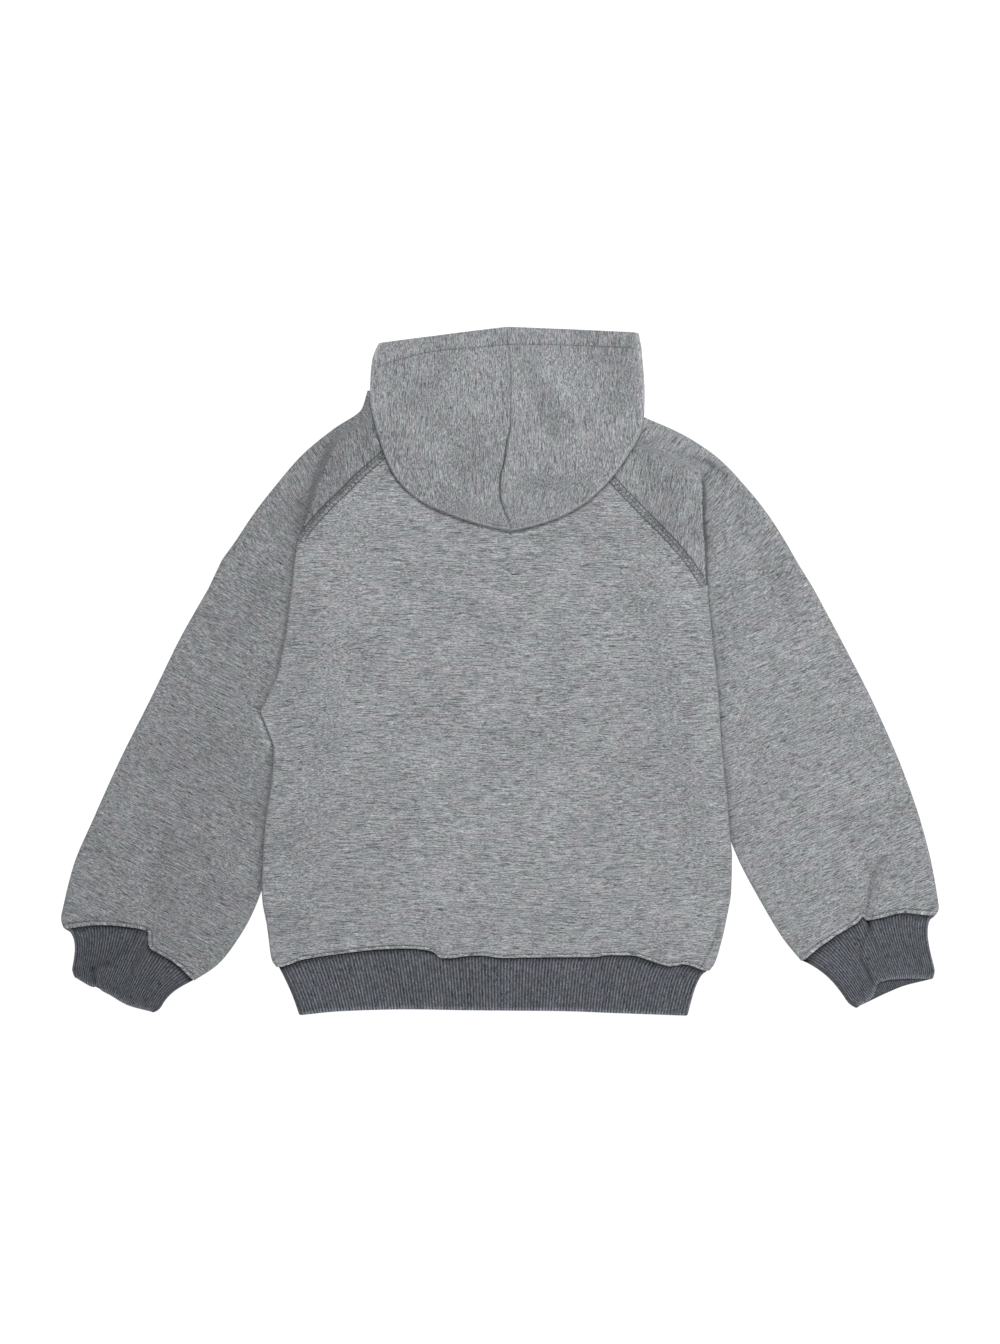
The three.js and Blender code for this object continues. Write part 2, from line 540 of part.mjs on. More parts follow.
function backPanel(sections) {
  const wall = new Wall();
  const heightOf = (section, x, y) => {
    const lifted = section.dropLeft * (x < 0 ? climb(x, section.climbLeft) : 0)
      + section.dropRight * (x > 0 ? climb(x, section.climbRight) : 0);
    const inside = smooth((CROWNED.top - y) / CROWNED.topOver)
      * smooth((y - CROWNED.foot) / CROWNED.footOver)
      * smooth((CROWNED.side - Math.abs(x)) / CROWNED.sideOver);
    return SECOND + lifted + inside * (CROWN + foldHeight(BACK_FOLDS, x, y));
  };
  const rows = sections.map((section) => backRow(section, heightOf));
  wall.sheet(rows, true);
  const under = UPPER_RIGHT.length - 1;
  for (const [n, side, upper] of [[0, -1, UPPER_LEFT], [1, 1, UPPER_RIGHT]]) {
    const flap = sections.slice(under).map((section, i) => {
      const edge = rows[under + i][n === 0 ? 0 : rows[0].length - 1];
      const start = section.starts[n];
      if (i === 0) {
        const { out, path } = pleatPlaces(upper[under]);
        const low = [start[0], start[1] - 2 * SEAM];
        const folded = path.slice(0, 1 + STEPS.roll + STEPS.back);
        return [edge, ...folded.map(([distance, up]) => [...shift(low, out, distance), edge[2] + up])];
      }
      const y = edge[1];
      const centre = [start[0], y];
      const z = edge[2] - FOLD;
      const end = [start[0] - side * section.returns[n], y];
      const climbEnd = n === 0 ? section.climbLeft : section.climbRight;
      const drop = section.dropLeft * (n === 0) + section.dropRight * (n === 1);
      const backHeight = (x) => z - FOLD - drop * (1 - climb(x, climbEnd));
      return [edge, [start[0], y, edge[2]],
        ...roll(centre, [side, 0], z, FOLD, 90, -90, STEPS.roll),
        ...stretch(centre, end, STEPS.back, backHeight)];
    });
    wall.sheet(flap, side > 0);
  }
  return wall.geometry(FLEECE);
}

function frontPanel(sections) {
  const wall = new Wall();
  const heightOf = (section, x) => FIRST + (x < 0 ? section.frontDrops[0] * climb(x, section.climbLeft)
    : section.frontDrops[1] * climb(x, section.climbRight));
  wall.sheet(sections.map((section) => frontRow(section, heightOf)), false);
  return wall.geometry(FLEECE);
}

// One half of the hood: top layer from the centre seam, folded side, and under layer to the neck
function hoodHalf(name, side) {
  const wall = new Wall();
  const neck = side > 0 ? 'neckRight' : 'neckLeft';
  const rows = HOOD.map((row, index) => {
    const crown = [row.crown[0] + side * SEAM / 2, row.crown[1]];
    const end = [row[neck][0] + side * (index < 1 || index > NECK_END ? SEAM / 2 : 0), row[neck][1]];
    const last = index === HOOD.length - 1;
    const edge = last ? [crown[0], row[name][1]] : row[name];
    const out = unit(crown, edge);
    const centre = shift(edge, out, -(FLEECE / 2 + row.roll));
    const back = unit(end, edge);
    const sideTop = row.under + 2 * row.roll;
    const folded = smooth((HOOD.length - 2 - index) / TIP_SECTIONS);
    const topHeight = (x, y, t) => lerp(row.top, sideTop, t ** SIDE_FALL)
      + folded * Math.sin(Math.PI * clamp01(t + 0.05)) * foldHeight(HOOD_FOLDS, x, y);
    const underFrom = last ? centre : shift(edge, back, -(FLEECE / 2 + row.roll));
    const turned = roll([0, 0], [1, 0], 0, row.roll, 90, -90, STEPS.roll).map(([reach, , z], i) => {
      const t = (i + 1) / STEPS.roll;
      const base = mix(centre, underFrom, t);
      const heading = mix(out, last ? out : back, t);
      return [base[0] + heading[0] * reach, base[1] + heading[1] * reach, row.under + row.roll + z];
    });
    return [[...crown, topHeight(crown[0], crown[1], 0)],
      ...stretch(crown, centre, STEPS.top, topHeight),
      ...turned,
      ...stretch(underFrom, end, STEPS.under, () => row.under)];
  });
  wall.sheet(rows, side > 0);
  const onSeam = rows.flatMap((row, index) => {
    if (index === rows.length - 1) return row;
    return index < 1 || index > NECK_END ? [row[0], row[row.length - 1]] : [row[0]];
  });
  for (const point of onSeam) wall.upright.add(wall.add(point));
  return wall.geometry(FLEECE);
}

// A flattened ring of ribbed knit: top and under layers between a seam line and a mouth line, each given
// by a function of the share across, with ribs on the top layer and plain cloth beneath
function ribRing({ topSeam, topMouth, underSeam, underMouth, ribs, rows, underSteps, flip }) {
  const wall = new Wall();
  const [low, high] = [RIB / 2, RIB / 2 + RIB_LAYER];
  const radius = RIB_LAYER / 2;
  const reach = RIB / 2 + radius;
  const steps = 2 * ribs;
  const sections = range(rows + 1).map((r) => {
    const t = r / rows;
    const topAt = (s) => mix(topSeam(s), topMouth(s), t);
    const underAt = (s) => mix(underSeam(s), underMouth(s), t);
    const out = unit(topAt(0.5), topAt(1));
    const away = unit(topAt(0.5), topAt(0));
    const start = shift(topAt(0), away, -reach);
    const end = shift(topAt(1), out, -reach);
    const underEnd = shift(underAt(1), out, -reach);
    const underStart = shift(underAt(0), away, -reach);
    const topRow = range(steps + 1).map((i) => {
      const s = i / steps;
      const base = topAt(s);
      const inset = shift(shift(base, away, -reach * (1 - s)), out, -reach * s);
      return [...inset, high, i % 2 ? -RIB_RELIEF : 0];
    });
    const turn = (from, to, u, spin) => roll([0, 0], [1, 0], 0, radius, spin, -spin, STEPS.roll)
      .map(([distance, , z], i) => {
        const base = mix(from, to, (i + 1) / STEPS.roll);
        return [...shift(base, u, distance), low + radius + z];
      });
    const underRow = stretch(underEnd, underStart, underSteps, () => low);
    const back = turn(underStart, start, away, -90);
    return [...topRow, ...turn(end, underEnd, out, 90), ...underRow, ...back.slice(0, -1), topRow[0]];
  });
  wall.sheet(sections, flip);
  return wall.geometry(RIB);
}

function hemRib(sections) {
  const [seamLeft, seamRight] = [HEM_SEAM[0], HEM_SEAM[HEM_SEAM.length - 1]];
  const last = sections[sections.length - 1];
  const [backEdge, frontEdge] = [backRow(last, () => 0), frontRow(last, () => 0)];
  const seam = (s) => {
    const x = lerp(seamLeft[0] + 2, seamRight[0] - 2, s);
    return [x, Math.min(heightAt(backEdge, x), heightAt(frontEdge, x)) - 2 * SEAM];
  };
  const mouth = (s) => along(HEM_LOW, s);
  const width = seamRight[0] - seamLeft[0];
  return ribRing({ topSeam: seam, topMouth: mouth, underSeam: seam, underMouth: mouth,
    ribs: Math.round(width / RIB_PITCH), rows: 2, underSteps: 10, flip: true });
}

// A cuff, sewn to the last section of its sleeve
function cuff(closed, mouth, flip) {
  const last = closed[closed.length - 1];
  const top = last.slice(STEPS.halfRoll, STEPS.halfRoll + STEPS.top + 1);
  const outermost = last[STEPS.halfRoll + STEPS.top + STEPS.roll / 2];
  const edge = [last[0], ...top, outermost].map((p) => p.slice(0, 2));
  const drop = unit(along(edge, 0.5), along(mouth.top, 0.5));
  const seam = (s) => shift(along(edge, s), drop, 3 * SEAM);
  return ribRing({ topSeam: seam, topMouth: (s) => along(mouth.top, s), underSeam: seam,
    underMouth: (s) => along(mouth.under, s), ribs: CUFF_RIBS, rows: 2, underSteps: 8, flip });
}

const fleece = (color) => new THREE.MeshStandardMaterial({ color, roughness: 0.95, metalness: 0 });
const rib = (color) => new THREE.MeshStandardMaterial({ color, roughness: 0.9, metalness: 0 });

function piece(name, geometry, material) {
  const mesh = new THREE.Mesh(geometry, material);
  mesh.name = name;
  return mesh;
}

const sections = bodySections();
const closedRight = lowerSections(LOWER_RIGHT, CUFF_SEAM_RIGHT, SIDE_RIGHT, SLEEVE_FOLDS_RIGHT);
const closedLeft = lowerSections(LOWER_LEFT, CUFF_SEAM_LEFT, SIDE_LEFT, SLEEVE_FOLDS_LEFT);
const sleeveRight = sleeve({ upper: UPPER_RIGHT, closed: closedRight, side: 1,
  folds: SLEEVE_FOLDS_RIGHT, sideLine: SIDE_RIGHT });
const sleeveLeft = sleeve({ upper: UPPER_LEFT, closed: closedLeft, side: -1,
  folds: SLEEVE_FOLDS_LEFT, sideLine: SIDE_LEFT });
const hoodie = new THREE.Group();
hoodie.add(
  piece('back_panel', backPanel(sections), fleece(0x96989b)),
  piece('front_panel', frontPanel(sections), fleece(0x8e9093)),
  piece('sleeve_right', sleeveRight, fleece(0x97999b)),
  piece('sleeve_left', sleeveLeft, fleece(0x848688)),
  piece('hood_right', hoodHalf('right', 1), fleece(0x969a9d)),
  piece('hood_left', hoodHalf('left', -1), fleece(0x94989b)),
  piece('hem_rib', hemRib(sections), rib(0x5a5b60)),
  piece('cuff_right', cuff(closedRight, CUFF_MOUTH_RIGHT, true), rib(0x5e6165)),
  piece('cuff_left', cuff(closedLeft, CUFF_MOUTH_LEFT, false), rib(0x484c52)),
);

export default hoodie;
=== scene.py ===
"""A toddler's grey melange pullover hoodie, laid flat with its back up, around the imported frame.

Every piece of cloth is a thin shell: sections of points at the middle of the cloth, joined into a sheet
and given two sides and a round rim. Tables and shape functions work in millimetres, in the frame's own
axes: X across the garment, Y towards the hood, Z up. Meshes are made in metres.
"""
import math

import bpy
import numpy as np
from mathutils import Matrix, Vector
from mathutils.bvhtree import BVHTree


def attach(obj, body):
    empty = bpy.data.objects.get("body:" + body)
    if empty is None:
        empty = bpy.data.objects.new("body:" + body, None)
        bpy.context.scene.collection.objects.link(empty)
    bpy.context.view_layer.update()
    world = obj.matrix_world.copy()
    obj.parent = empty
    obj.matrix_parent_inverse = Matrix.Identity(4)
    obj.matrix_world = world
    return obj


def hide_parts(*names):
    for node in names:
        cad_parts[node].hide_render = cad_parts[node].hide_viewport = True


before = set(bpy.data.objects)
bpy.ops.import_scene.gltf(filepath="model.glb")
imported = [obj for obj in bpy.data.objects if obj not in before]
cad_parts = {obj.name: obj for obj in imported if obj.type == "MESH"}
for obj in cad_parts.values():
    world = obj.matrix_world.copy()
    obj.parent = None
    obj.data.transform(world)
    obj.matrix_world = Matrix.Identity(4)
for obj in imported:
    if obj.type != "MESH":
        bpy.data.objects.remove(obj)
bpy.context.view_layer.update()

MM = 0.001

# The cloth and how it lies
FLEECE = 2.0               # wall of the brushed fleece
RIB = 2.2                  # wall of the doubled rib knit
RIB_DEPTH = 0.75           # depth of the furrows between ribs
RIB_PITCH = 2.5            # from one rib to the next
SEAM = 0.3                 # space between two sewn pieces
LAYER = 2.6                # from one laid layer to the next, between wall middles
FOLD = LAYER / 2           # middle radius of a layer folded back on itself
RIB_LAYER = 2.8            # the same between the rib's layers
FIRST = FLEECE / 2         # wall-middle heights of the layers at the body's sides
SECOND = FIRST + LAYER
PUFF = 2.4                 # air under the top of a sleeve
CROWN = 1.4                # air under the middle of the back
RAMP = 38                  # over which the back climbs onto the layers under it
FRONT_RAMP = 14            # the same for the front, under it
LEAD = 3                   # flat strip before a fold's edge

# Steps of each stretch of a section
CAP, ROLL, BACK, TOP, UNDER, HALF = 18, 8, 3, 52, 16, 4

SIGN = {"right": 1, "left": -1}


def named_rows(columns, rows):
    """The rows of a table as dicts under its columns' names."""
    return [dict(zip(columns, row)) for row in rows]


# The sleeves' upper sections, from the neck down to the underarm: ends on the back and front raglan
# seams, edge of the pleat over the lower sleeve, outer edge, turn of the pleat and how far it goes in
UPPER_COLUMNS = ("raglan", "fold", "outer", "front", "angle", "depth")
UPPER = {
    "right": named_rows(UPPER_COLUMNS, [
        ((56, 175), (70, 186), (88, 200), (60, 162), 0, 2),
        ((69, 162), (90, 177), (110, 190), (68, 148), 0, 2),
        ((86, 142), (119, 163), (137, 178), (78, 132), 12, 2),
        ((103, 124), (150, 149), (163, 161), (88, 117), 75, 1.6),
        ((117, 110), (153.4, 135), (185, 138), (98, 103), 150, 3),
        ((130, 96), (153.4, 116), (201, 118), (108, 88), 176, 8),
        ((141.5, 82), (155, 93), (214, 98), (118, 74), 180, 13),
        ((152.8, 65.5), (156.1, 65.5), (225, 79), (127, 66), 180, 17),
    ]),
    "left": named_rows(UPPER_COLUMNS, [
        ((-56, 192), (-70, 200.5), (-99.5, 211), (-60, 172), 0, 2),
        ((-70, 179), (-90, 189), (-104, 197), (-69, 160), 0, 2),
        ((-87, 163), (-117, 178), (-125, 182), (-79, 147), 24, 1.2),
        ((-104, 148), (-130, 158.6), (-148, 163), (-90, 133), 45, 1.4),
        ((-119, 133), (-138, 139), (-168, 140), (-101, 120), 62, 1.6),
        ((-132, 120), (-144, 121), (-185, 118), (-111, 108), 130, 3),
        ((-142, 109), (-150, 104), (-199, 97), (-121, 96), 170, 7),
        ((-148.8, 99.5), (-151.9, 97.5), (-209, 83), (-129, 90), 180, 14),
    ]),
}

# The lower sleeves, closed round: inner and outer edges down to the cuff, and the cuff seams
LOWER_COLUMNS = ("inner", "outer")
LOWER = {
    "right": named_rows(LOWER_COLUMNS, [
        ((134, 47), (235, 63)), ((139, 8), (257, 22)),
        ((145, -34), (281, -25)), ((156, -78), (302, -73)),
        ((169, -116), (316, -113)), ((179, -141), (324, -144)),
        ((196, -173), (328, -166)), ((213, -201), (329.5, -177)),
        ((226, -217), (327.5, -182)),
    ]),
    "left": named_rows(LOWER_COLUMNS, [
        ((-136, 70), (-219, 62)), ((-142, 30), (-240, 25)),
        ((-149, -12), (-262, -20)), ((-152, -60), (-286, -68)),
        ((-160, -108), (-305, -110)), ((-174, -150), (-320, -145)),
        ((-187, -184), (-327, -172)), ((-211, -219), (-329.5, -185)),
        ((-229, -231.5), (-328, -191.5)),
    ]),
}
CUFF_SEAM = {
    "right": [(226, -217), (238, -207), (254, -196), (268, -187.5), (272, -183), (276, -186), (288, -183.5),
              (304, -180), (327.5, -182)],
    "left": [(-229, -231.5), (-241.5, -219.5), (-254, -212), (-261.5, -207.5), (-263, -203),
             (-263, -196), (-272, -192), (-302, -189), (-328, -191.5)],
}

# The sides of the body where it lies over the sleeves, and past them down to the hem seam
SIDE = {
    "right": [(155, 72), (156, 56), (160, 19), (164, -18), (166, -55), (170, -92), (172, -117),
              (174, -136), (174, -151), (173.6, -166), (173, -171.5), (167.7, -197.5), (163.5, -213),
              (161, -220), (157.5, -226)],
    "left": [(-154, 90), (-156, 66), (-161, 26), (-167, -3), (-175, -21), (-180, -30), (-176, -40),
             (-170, -55), (-170, -67), (-172, -87), (-176, -112), (-178, -139), (-179, -162),
             (-178, -174), (-175, -190), (-172.3, -213), (-171, -218), (-168, -223)],
}

# Sections of the body under the arms: heights of the two ends, how far each side is lifted by the sleeve
# under it, how far inside the folded edge the side seams lie, and where the panel starts to climb
BODY_COLUMNS = ("left", "right", "lift_left", "lift_right", "seam", "clear")
BODY_ROWS = named_rows(BODY_COLUMNS, (
    (75, 54, 1, 1, 22, 6), (52, 36, 1, 1, 16, 4), (26, 13, 1, 1, 9, 2), (0, -10, 1, 1, 3, 0),
    (-19, -30, 1, 1, 3, 0), (-30, -43, 1, 1, 3, 0), (-44, -58, 1, 1, 3, 0), (-64, -76, 1, 1, 3, 0),
    (-90, -98, 1, 1, 3, 0), (-118, -120, 1, 1, 3, 0), (-142, -137, 1, 1, 3, 0),
    (-160, -153, 1, 0.4, 3, 0), (-174, -170, 1, 0, 3, 0), (-190, -188, 0.4, 0, 3, 0),
    (-206, -207, 0, 0, 3, 0), (-223, -226, 0, 0, 3, 0)))
BACK_NECK_DROP = [-4, -3, -2, -1, 0, 0, 0, 0]
FRONT_NECK_DROP = [-15, -11, -7, -4, -1, 0, 0, 0]

# The hem: its seam with the body and its lower edge
HEM_SEAM = [(-168, -223), (-157.5, -219.4), (-149, -216.2), (-116, -211), (-88, -208), (-71, -207.5),
            (-55, -208.7), (-49, -210.6), (-45, -214.7), (-38, -214.9), (-22, -212.9), (-13, -212.9),
            (3, -214.6), (45, -214), (70, -214), (80, -212.6), (100, -212.8), (110, -215.8), (129, -221.4),
            (135, -219.3), (141, -220), (157.5, -226)]
HEM_LOW = [(-151, -256.8), (-121.5, -254), (-71, -252.6), (-22, -253.3), (45, -253.9), (88.5, -255.4),
           (141, -257.3)]

# The cuffs' lower edges, from the inner side of the sleeve to the outer one
CUFF_TOP_MOUTH = {
    "right": [(264.5, -254), (278, -244.5), (281.5, -236), (285, -233.5), (295, -231),
              (306, -230), (328, -229.3)],
    "left": [(-256.5, -256.3), (-277.5, -250), (-292.5, -241.6), (-300, -237.6),
             (-303.5, -234), (-307.5, -234.6), (-322, -227)],
}
CUFF_UNDER_MOUTH = {
    "right": [(264.5, -254), (290, -241.5), (305, -235.5), (328, -229.8)],
    "left": [(-256.5, -256.3), (-277.5, -249.8), (-292.5, -241.2), (-303.5, -235.6),
             (-322, -227)],
}
CUFF_RIBS = 44

# The hood's sections from the face opening to the tip of the crown: centre seam on the top layer, folded
# sides, ends on the neck seam and then on the centre seam of the under layer; heights of the top layer's
# middle and of the under layer, and the side's middle radius
HOOD_COLUMNS = ("crown", "right", "left", "neck_right", "neck_left", "top", "under", "roll")
HOOD = named_rows(HOOD_COLUMNS, (
    ((5, 257.6), (104, 254), (-91, 246), (7, 154), (3, 154.5), 15, 1, 2.6),
    ((6, 245), (106, 243), (-93.5, 241), (34, 157), (-26, 161), 16, 1, 3.2),
    ((7, 236), (107, 231), (-95.5, 235), (57, 167), (-55, 179), 17, 1, 3.8),
    ((8, 228), (108, 220), (-97, 223), (93, 209), (-79.5, 214.5), 18, 1, 4.3),
    ((8, 221), (108.3, 213), (-97.4, 215), (92, 204.5), (-80.5, 211.8), 18.6, 6.2, 2.1),
    ((8, 213), (108.3, 206), (-97.5, 209), (73, 190.5), (-69, 203), 19, 6.2, 2.5),
    ((8, 200), (108, 193), (-97, 200), (57, 177), (-56, 193.5), 20, 6.2, 2.9),
    ((8, 186), (105, 178), (-94, 186), (30, 172), (-28, 178), 20, 6.2, 3.1),
    ((5, 171), (96, 162), (-89, 169), (6, 170), (6, 170), 19, 6.2, 2.7),
    ((3, 157), (82, 143), (-80, 148), (6, 155), (6, 155), 17.5, 6.2, 2.5),
    ((0, 144), (64, 126.5), (-62, 129.5), (6, 140), (6, 140), 16, 6.2, 2.3),
    ((0, 132), (44, 115.5), (-35, 117), (7, 128), (7, 128), 15, 6.2, 2.2),
    ((3, 121), (26, 109.5), (-10, 109), (7, 118), (7, 118), 14, 6.2, 2.1),
    ((7.5, 110), (8.5, 105), (8, 105), (8, 110), (8, 110), 10.4, 6.2, 2.1)))
NECK_END = 7               # the last of those sections that ends on the neck seam
HOOD_HEM = [(-91, 229.5), (-67.5, 235.5), (-47, 240), (-25, 241.5), (0, 244), (15, 244.8), (35, 244.5),
            (51, 244), (75, 243.5), (106, 242)]

# Soft folds of the top layers: ends of the line, half width and height, where a furrow is below 0
SLEEVE_FOLDS = {
    "right": [
        ((177, 136), (219, 48), 9, -1.9), ((190, 118), (232, 30), 10, 1),
        ((288, -142), (275, -181), 4.2, -2.4), ((279, -138), (266, -180), 7, 1.8),
        ((297, -150), (292, -182), 8, 1.0), ((205, -60), (262, -44), 12, 1.2),
        ((243, -28), (282, -70), 14, 0.9), ((186, -10), (214, -84), 16, 0.8),
        ((205, -120), (238, -196), 13, 0.9), ((228, -112), (254, -180), 9, -0.8),
        ((309, -120), (318, -176), 7, 0.7), ((166, 96), (176, 40), 7, -0.8),
    ],
    "left": [
        ((-165, 96), (-196, 36), 8, -1.5), ((-200, -122), (-196, -150), 6, -1.9),
        ((-216, -112), (-212, -160), 9, 1.6), ((-190, -30), (-258, -52), 12, 1.2),
        ((-252, -20), (-286, -92), 14, 0.9), ((-262, -150), (-264, -196), 7, -1.2),
        ((-276, -150), (-280, -190), 9, 1.1), ((-300, -130), (-306, -186), 8, -0.6),
        ((-196, -170), (-232, -222), 10, 0.9), ((-240, -160), (-252, -204), 10, 0.7),
    ],
}
BACK_FOLDS = [
    ((-179, -30), (-128, -22), 7, 1.3), ((-50, -206), (-46, -184), 6, 1.4),
    ((-42, -212), (-39, -192), 4, -0.9), ((120, -214), (112, -190), 7, 1.2),
    ((126, -217), (124, -200), 4, -0.7), ((166, -172), (146, -160), 4, -0.9),
    ((-20, 60), (60, 20), 26, 0.8), ((-110, -20), (-60, -110), 24, -0.7),
    ((60, -70), (110, -140), 26, 0.7), ((-70, 80), (-110, 30), 18, 0.7),
    ((90, 60), (120, 0), 18, -0.6), ((-140, -120), (-120, -190), 14, 0.7),
]
HOOD_FOLDS = [
    ((33, 230), (50, 204), 9, 2.2), ((50, 204), (63, 160), 9, 2.8),
    ((20, 232), (39, 178), 7, -3.2), ((72, 238), (88, 196), 13, -2.6),
    ((-44, 233), (-68, 196), 9, -3), ((-10, 176), (-32, 150), 13, -3.2),
    ((14, 148), (80, 150), 8, 2.2), ((16, 136), (66, 134), 8, -1.4),
    ((-22, 236), (-40, 190), 10, 1.6), ((-84, 214), (-70, 160), 8, 1.4),
    ((-58, 160), (-26, 126), 7, 1.4), ((10, 200), (2, 160), 5, 1.2),
]

# Painted shade and painted highlights on the cloth, in the same form as the folds: darker above 0, lighter
# below
HOOD_SHADES = [
    ((84, 238), (90, 205), 15, 0.2), ((-17, 176), (-20, 150), 13, 0.15),
    ((-44, 233), (-68, 203), 9, 0.12), ((31, 233), (50, 204), 6, -0.06),
    ((50, 204), (62, 162), 8, -0.1), ((19, 233), (38, 178), 6, 0.14),
    ((16, 137), (70, 136), 8, 0.08), ((-88, 226), (-92, 200), 5, -0.1),
    ((-25, 220), (-20, 195), 12, -0.06), ((-60, 150), (-30, 125), 8, 0.06),
]
SLEEVE_SHADES = {
    "right": [
        ((110, 165), (140, 110), 20, 0.2), ((128, 166), (146, 161), 3, 0.16),
        ((146, 161), (157, 157), 2.6, 0.3), ((157, 157), (169, 147), 2.8, 0.34),
        ((169, 147), (220, 46), 9, 0.12), ((150, 167), (176, 150), 3.5, -0.12),
        ((288, -139), (279.5, -152), 1.6, 0.3), ((279.5, -152), (274.5, -182), 1.6, 0.42),
        ((283, -146), (277, -182), 6, 0.1), ((100, 186), (150, 166), 6, -0.05),
    ],
    "left": [
        ((-100, 190), (-140, 120), 20, 0.17), ((-199, -124), (-201, -137), 4, 0.14),
        ((-121, 181), (-132, 160), 2.2, 0.15), ((-110, 170), (-128, 142), 9, -0.06),
        ((-150, 120), (-205, 20), 12, 0.05), ((-215, -60), (-250, -150), 16, 0.05),
        ((-97, 196), (-92, 172), 2.4, -0.45), ((-180, -35), (-172, -54), 3, -0.6),
    ],
}
BACK_SHADES = [
    ((-50, -206), (-46, -192), 2.5, 0.16), ((-150, 40), (-150, -190), 26, 0.09),
    ((120, -214), (116, -200), 3, 0.14), ((-56, 150), (60, 118), 14, 0.06),
    ((-94, 180), (-62, 129), 2.4, -0.55), ((-62, 129), (-30, 114), 2, -0.25),
    ((97, 165), (44, 114), 2.4, -0.4), ((-180, -33), (-172, -54), 3, -0.8),
]

# The photographed surface colours, as sRGB
FLEECE_COLOUR = (151, 152, 155)
RIB_COLOUR = (97, 99, 106)
THREAD_COLOUR = (70, 73, 76)


# Small helpers
def lerp(a, b, t):
    return a + (b - a) * t


def smooth(t):
    t = np.clip(t, 0, 1)
    return t * t * (3 - 2 * t)


def points(pairs):
    return np.array(pairs, float)


def bell(away, width, power=2):
    """1 at no distance, falling round to nothing beyond a width."""
    return np.exp(-((away / width) ** power))


def normed(way):
    return way / max(np.linalg.norm(way), 1e-9)


def unit(start, end):
    return (end - start) / np.hypot(*(end - start))


def monotone(values, at):
    """A column of values at places 0, 1, 2 and on, followed smoothly and without overshoot."""
    values = np.array(values, float)
    steps = np.diff(values, axis=0)
    slopes = np.zeros_like(values)
    total = steps[:-1] + steps[1:]
    same_way = steps[:-1] * steps[1:] > 0
    slopes[1:-1] = np.where(same_way, 2 * steps[:-1] * steps[1:] / np.where(same_way, total, 1), 0)
    slopes[0], slopes[-1] = steps[0], steps[-1]
    i = np.clip(at.astype(int), 0, len(values) - 2)
    t = at - i
    if values.ndim > 1:
        t = t[:, None]
    return ((2 * t ** 3 - 3 * t ** 2 + 1) * values[i] + (t ** 3 - 2 * t ** 2 + t) * slopes[i]
            + (3 * t ** 2 - 2 * t ** 3) * values[i + 1] + (t ** 3 - t ** 2) * slopes[i + 1])


def finer(table, at):
    """A table's rows at the given fractional places, each row a dict with its place as index."""
    columns = {name: monotone([row[name] for row in table], at) for name in table[0]}
    return [{"index": at[i], **{name: column[i] for name, column in columns.items()}}
            for i in range(len(at))]


def curve_through(pairs, count):
    """A smooth line through plan points, as evenly counted points."""
    line = points(pairs)
    return monotone(line, np.linspace(0, len(line) - 1, count))


def along(line, t):
    """Points at shares t of a line's length."""
    lengths = np.concatenate([[0], np.cumsum(np.hypot(*np.diff(line, axis=0).T))])
    at = np.clip(t, 0, 1) * lengths[-1]
    return np.stack([np.interp(at, lengths, line[:, k]) for k in range(2)], axis=-1)


def line_length(line):
    return np.hypot(*np.diff(line, axis=0).T).sum()


def across_at(line, y):
    """Where a line that runs down crosses the height y."""
    return np.interp(y, line[::-1, 1], line[::-1, 0])


def height_at(line, x):
    """Where a line that runs across reaches x, as its height."""
    return np.interp(x, line[:, 0], line[:, 1])


def distance_to(line, x, y):
    """Plan distance of points from a line of points."""
    best = np.full(np.shape(x), np.inf)
    for a, b in zip(line[:-1], line[1:]):
        span = b - a
        t = np.clip(((x - a[0]) * span[0] + (y - a[1]) * span[1]) / max(span @ span, 1e-9), 0, 1)
        best = np.minimum(best, np.hypot(x - a[0] - span[0] * t, y - a[1] - span[1] * t))
    return best


def fold_height(folds, x, y):
    """Height that the soft folds of a list add at points."""
    total = np.zeros(np.shape(x))
    for start, end, width, height in folds:
        total = total + height * bell(distance_to(points((start, end)), x, y), width)
    return total


def ripple(x, y):
    """Low, uneven waves that cloth keeps after it is smoothed out by hand."""
    waves = ((47, 12, 0.22, 0.3), (31, 71, 0.16, 1.9), (63, 118, 0.2, 4.1), (23, 152, 0.08, 2.2))
    total = np.zeros(np.shape(x))
    for length, heading, height, phase in waves:
        turn = math.radians(heading)
        way = x * math.cos(turn) + y * math.sin(turn)
        side = -x * math.sin(turn) + y * math.cos(turn)
        bend = 6 * np.sin(side / (length * 0.45) + phase)
        total = total + height * np.sin((way + bend) * 2 * math.pi / length + phase)
    return total


def seam_relief(distance, needle, raise_by):
    """Height of sewn cloth by its distance from the seam: raised by what is sewn in under it, rounded
    down into the seam, and drawn in along the needle line."""
    return (raise_by * bell(distance, needle * 1.3, 4) - 0.5 * bell(distance, 0.7)
            - 0.42 * bell(distance - needle, 0.75))


COVER_NEEDLE = 2.75        # from the raglan seam to each needle line
TOP_NEEDLE = 2.0           # from the rib seams to the topstitching
RAGLAN = {side: np.array([row["raglan"] for row in finer(table, np.linspace(0, 7, 71))])
          for side, table in UPPER.items()}


def seam_steps(length, count):
    """Shares along a stretch that starts on a seam, close together near it."""
    near = np.array([0, 0.7, 1.4, 2.1, 2.75, 3.4, 4.3, 5.6])
    near = near * min(1, length / 12)
    rest = np.linspace(near[-1], length, count - len(near) + 2)[1:]
    return np.concatenate([near, rest]) / length


def with_height(plan, z):
    return np.column_stack([plan, np.broadcast_to(z, len(plan))])


def turn_round(centre, way, z, radius, start, end, count):
    """Part of a round fold in the upright plane along way, without its first point. centre and way may
    differ from step to step."""
    turn = np.radians(np.linspace(start, end, count + 1)[1:])
    return with_height(centre + (radius * np.cos(turn))[:, None] * way, z + radius * np.sin(turn))


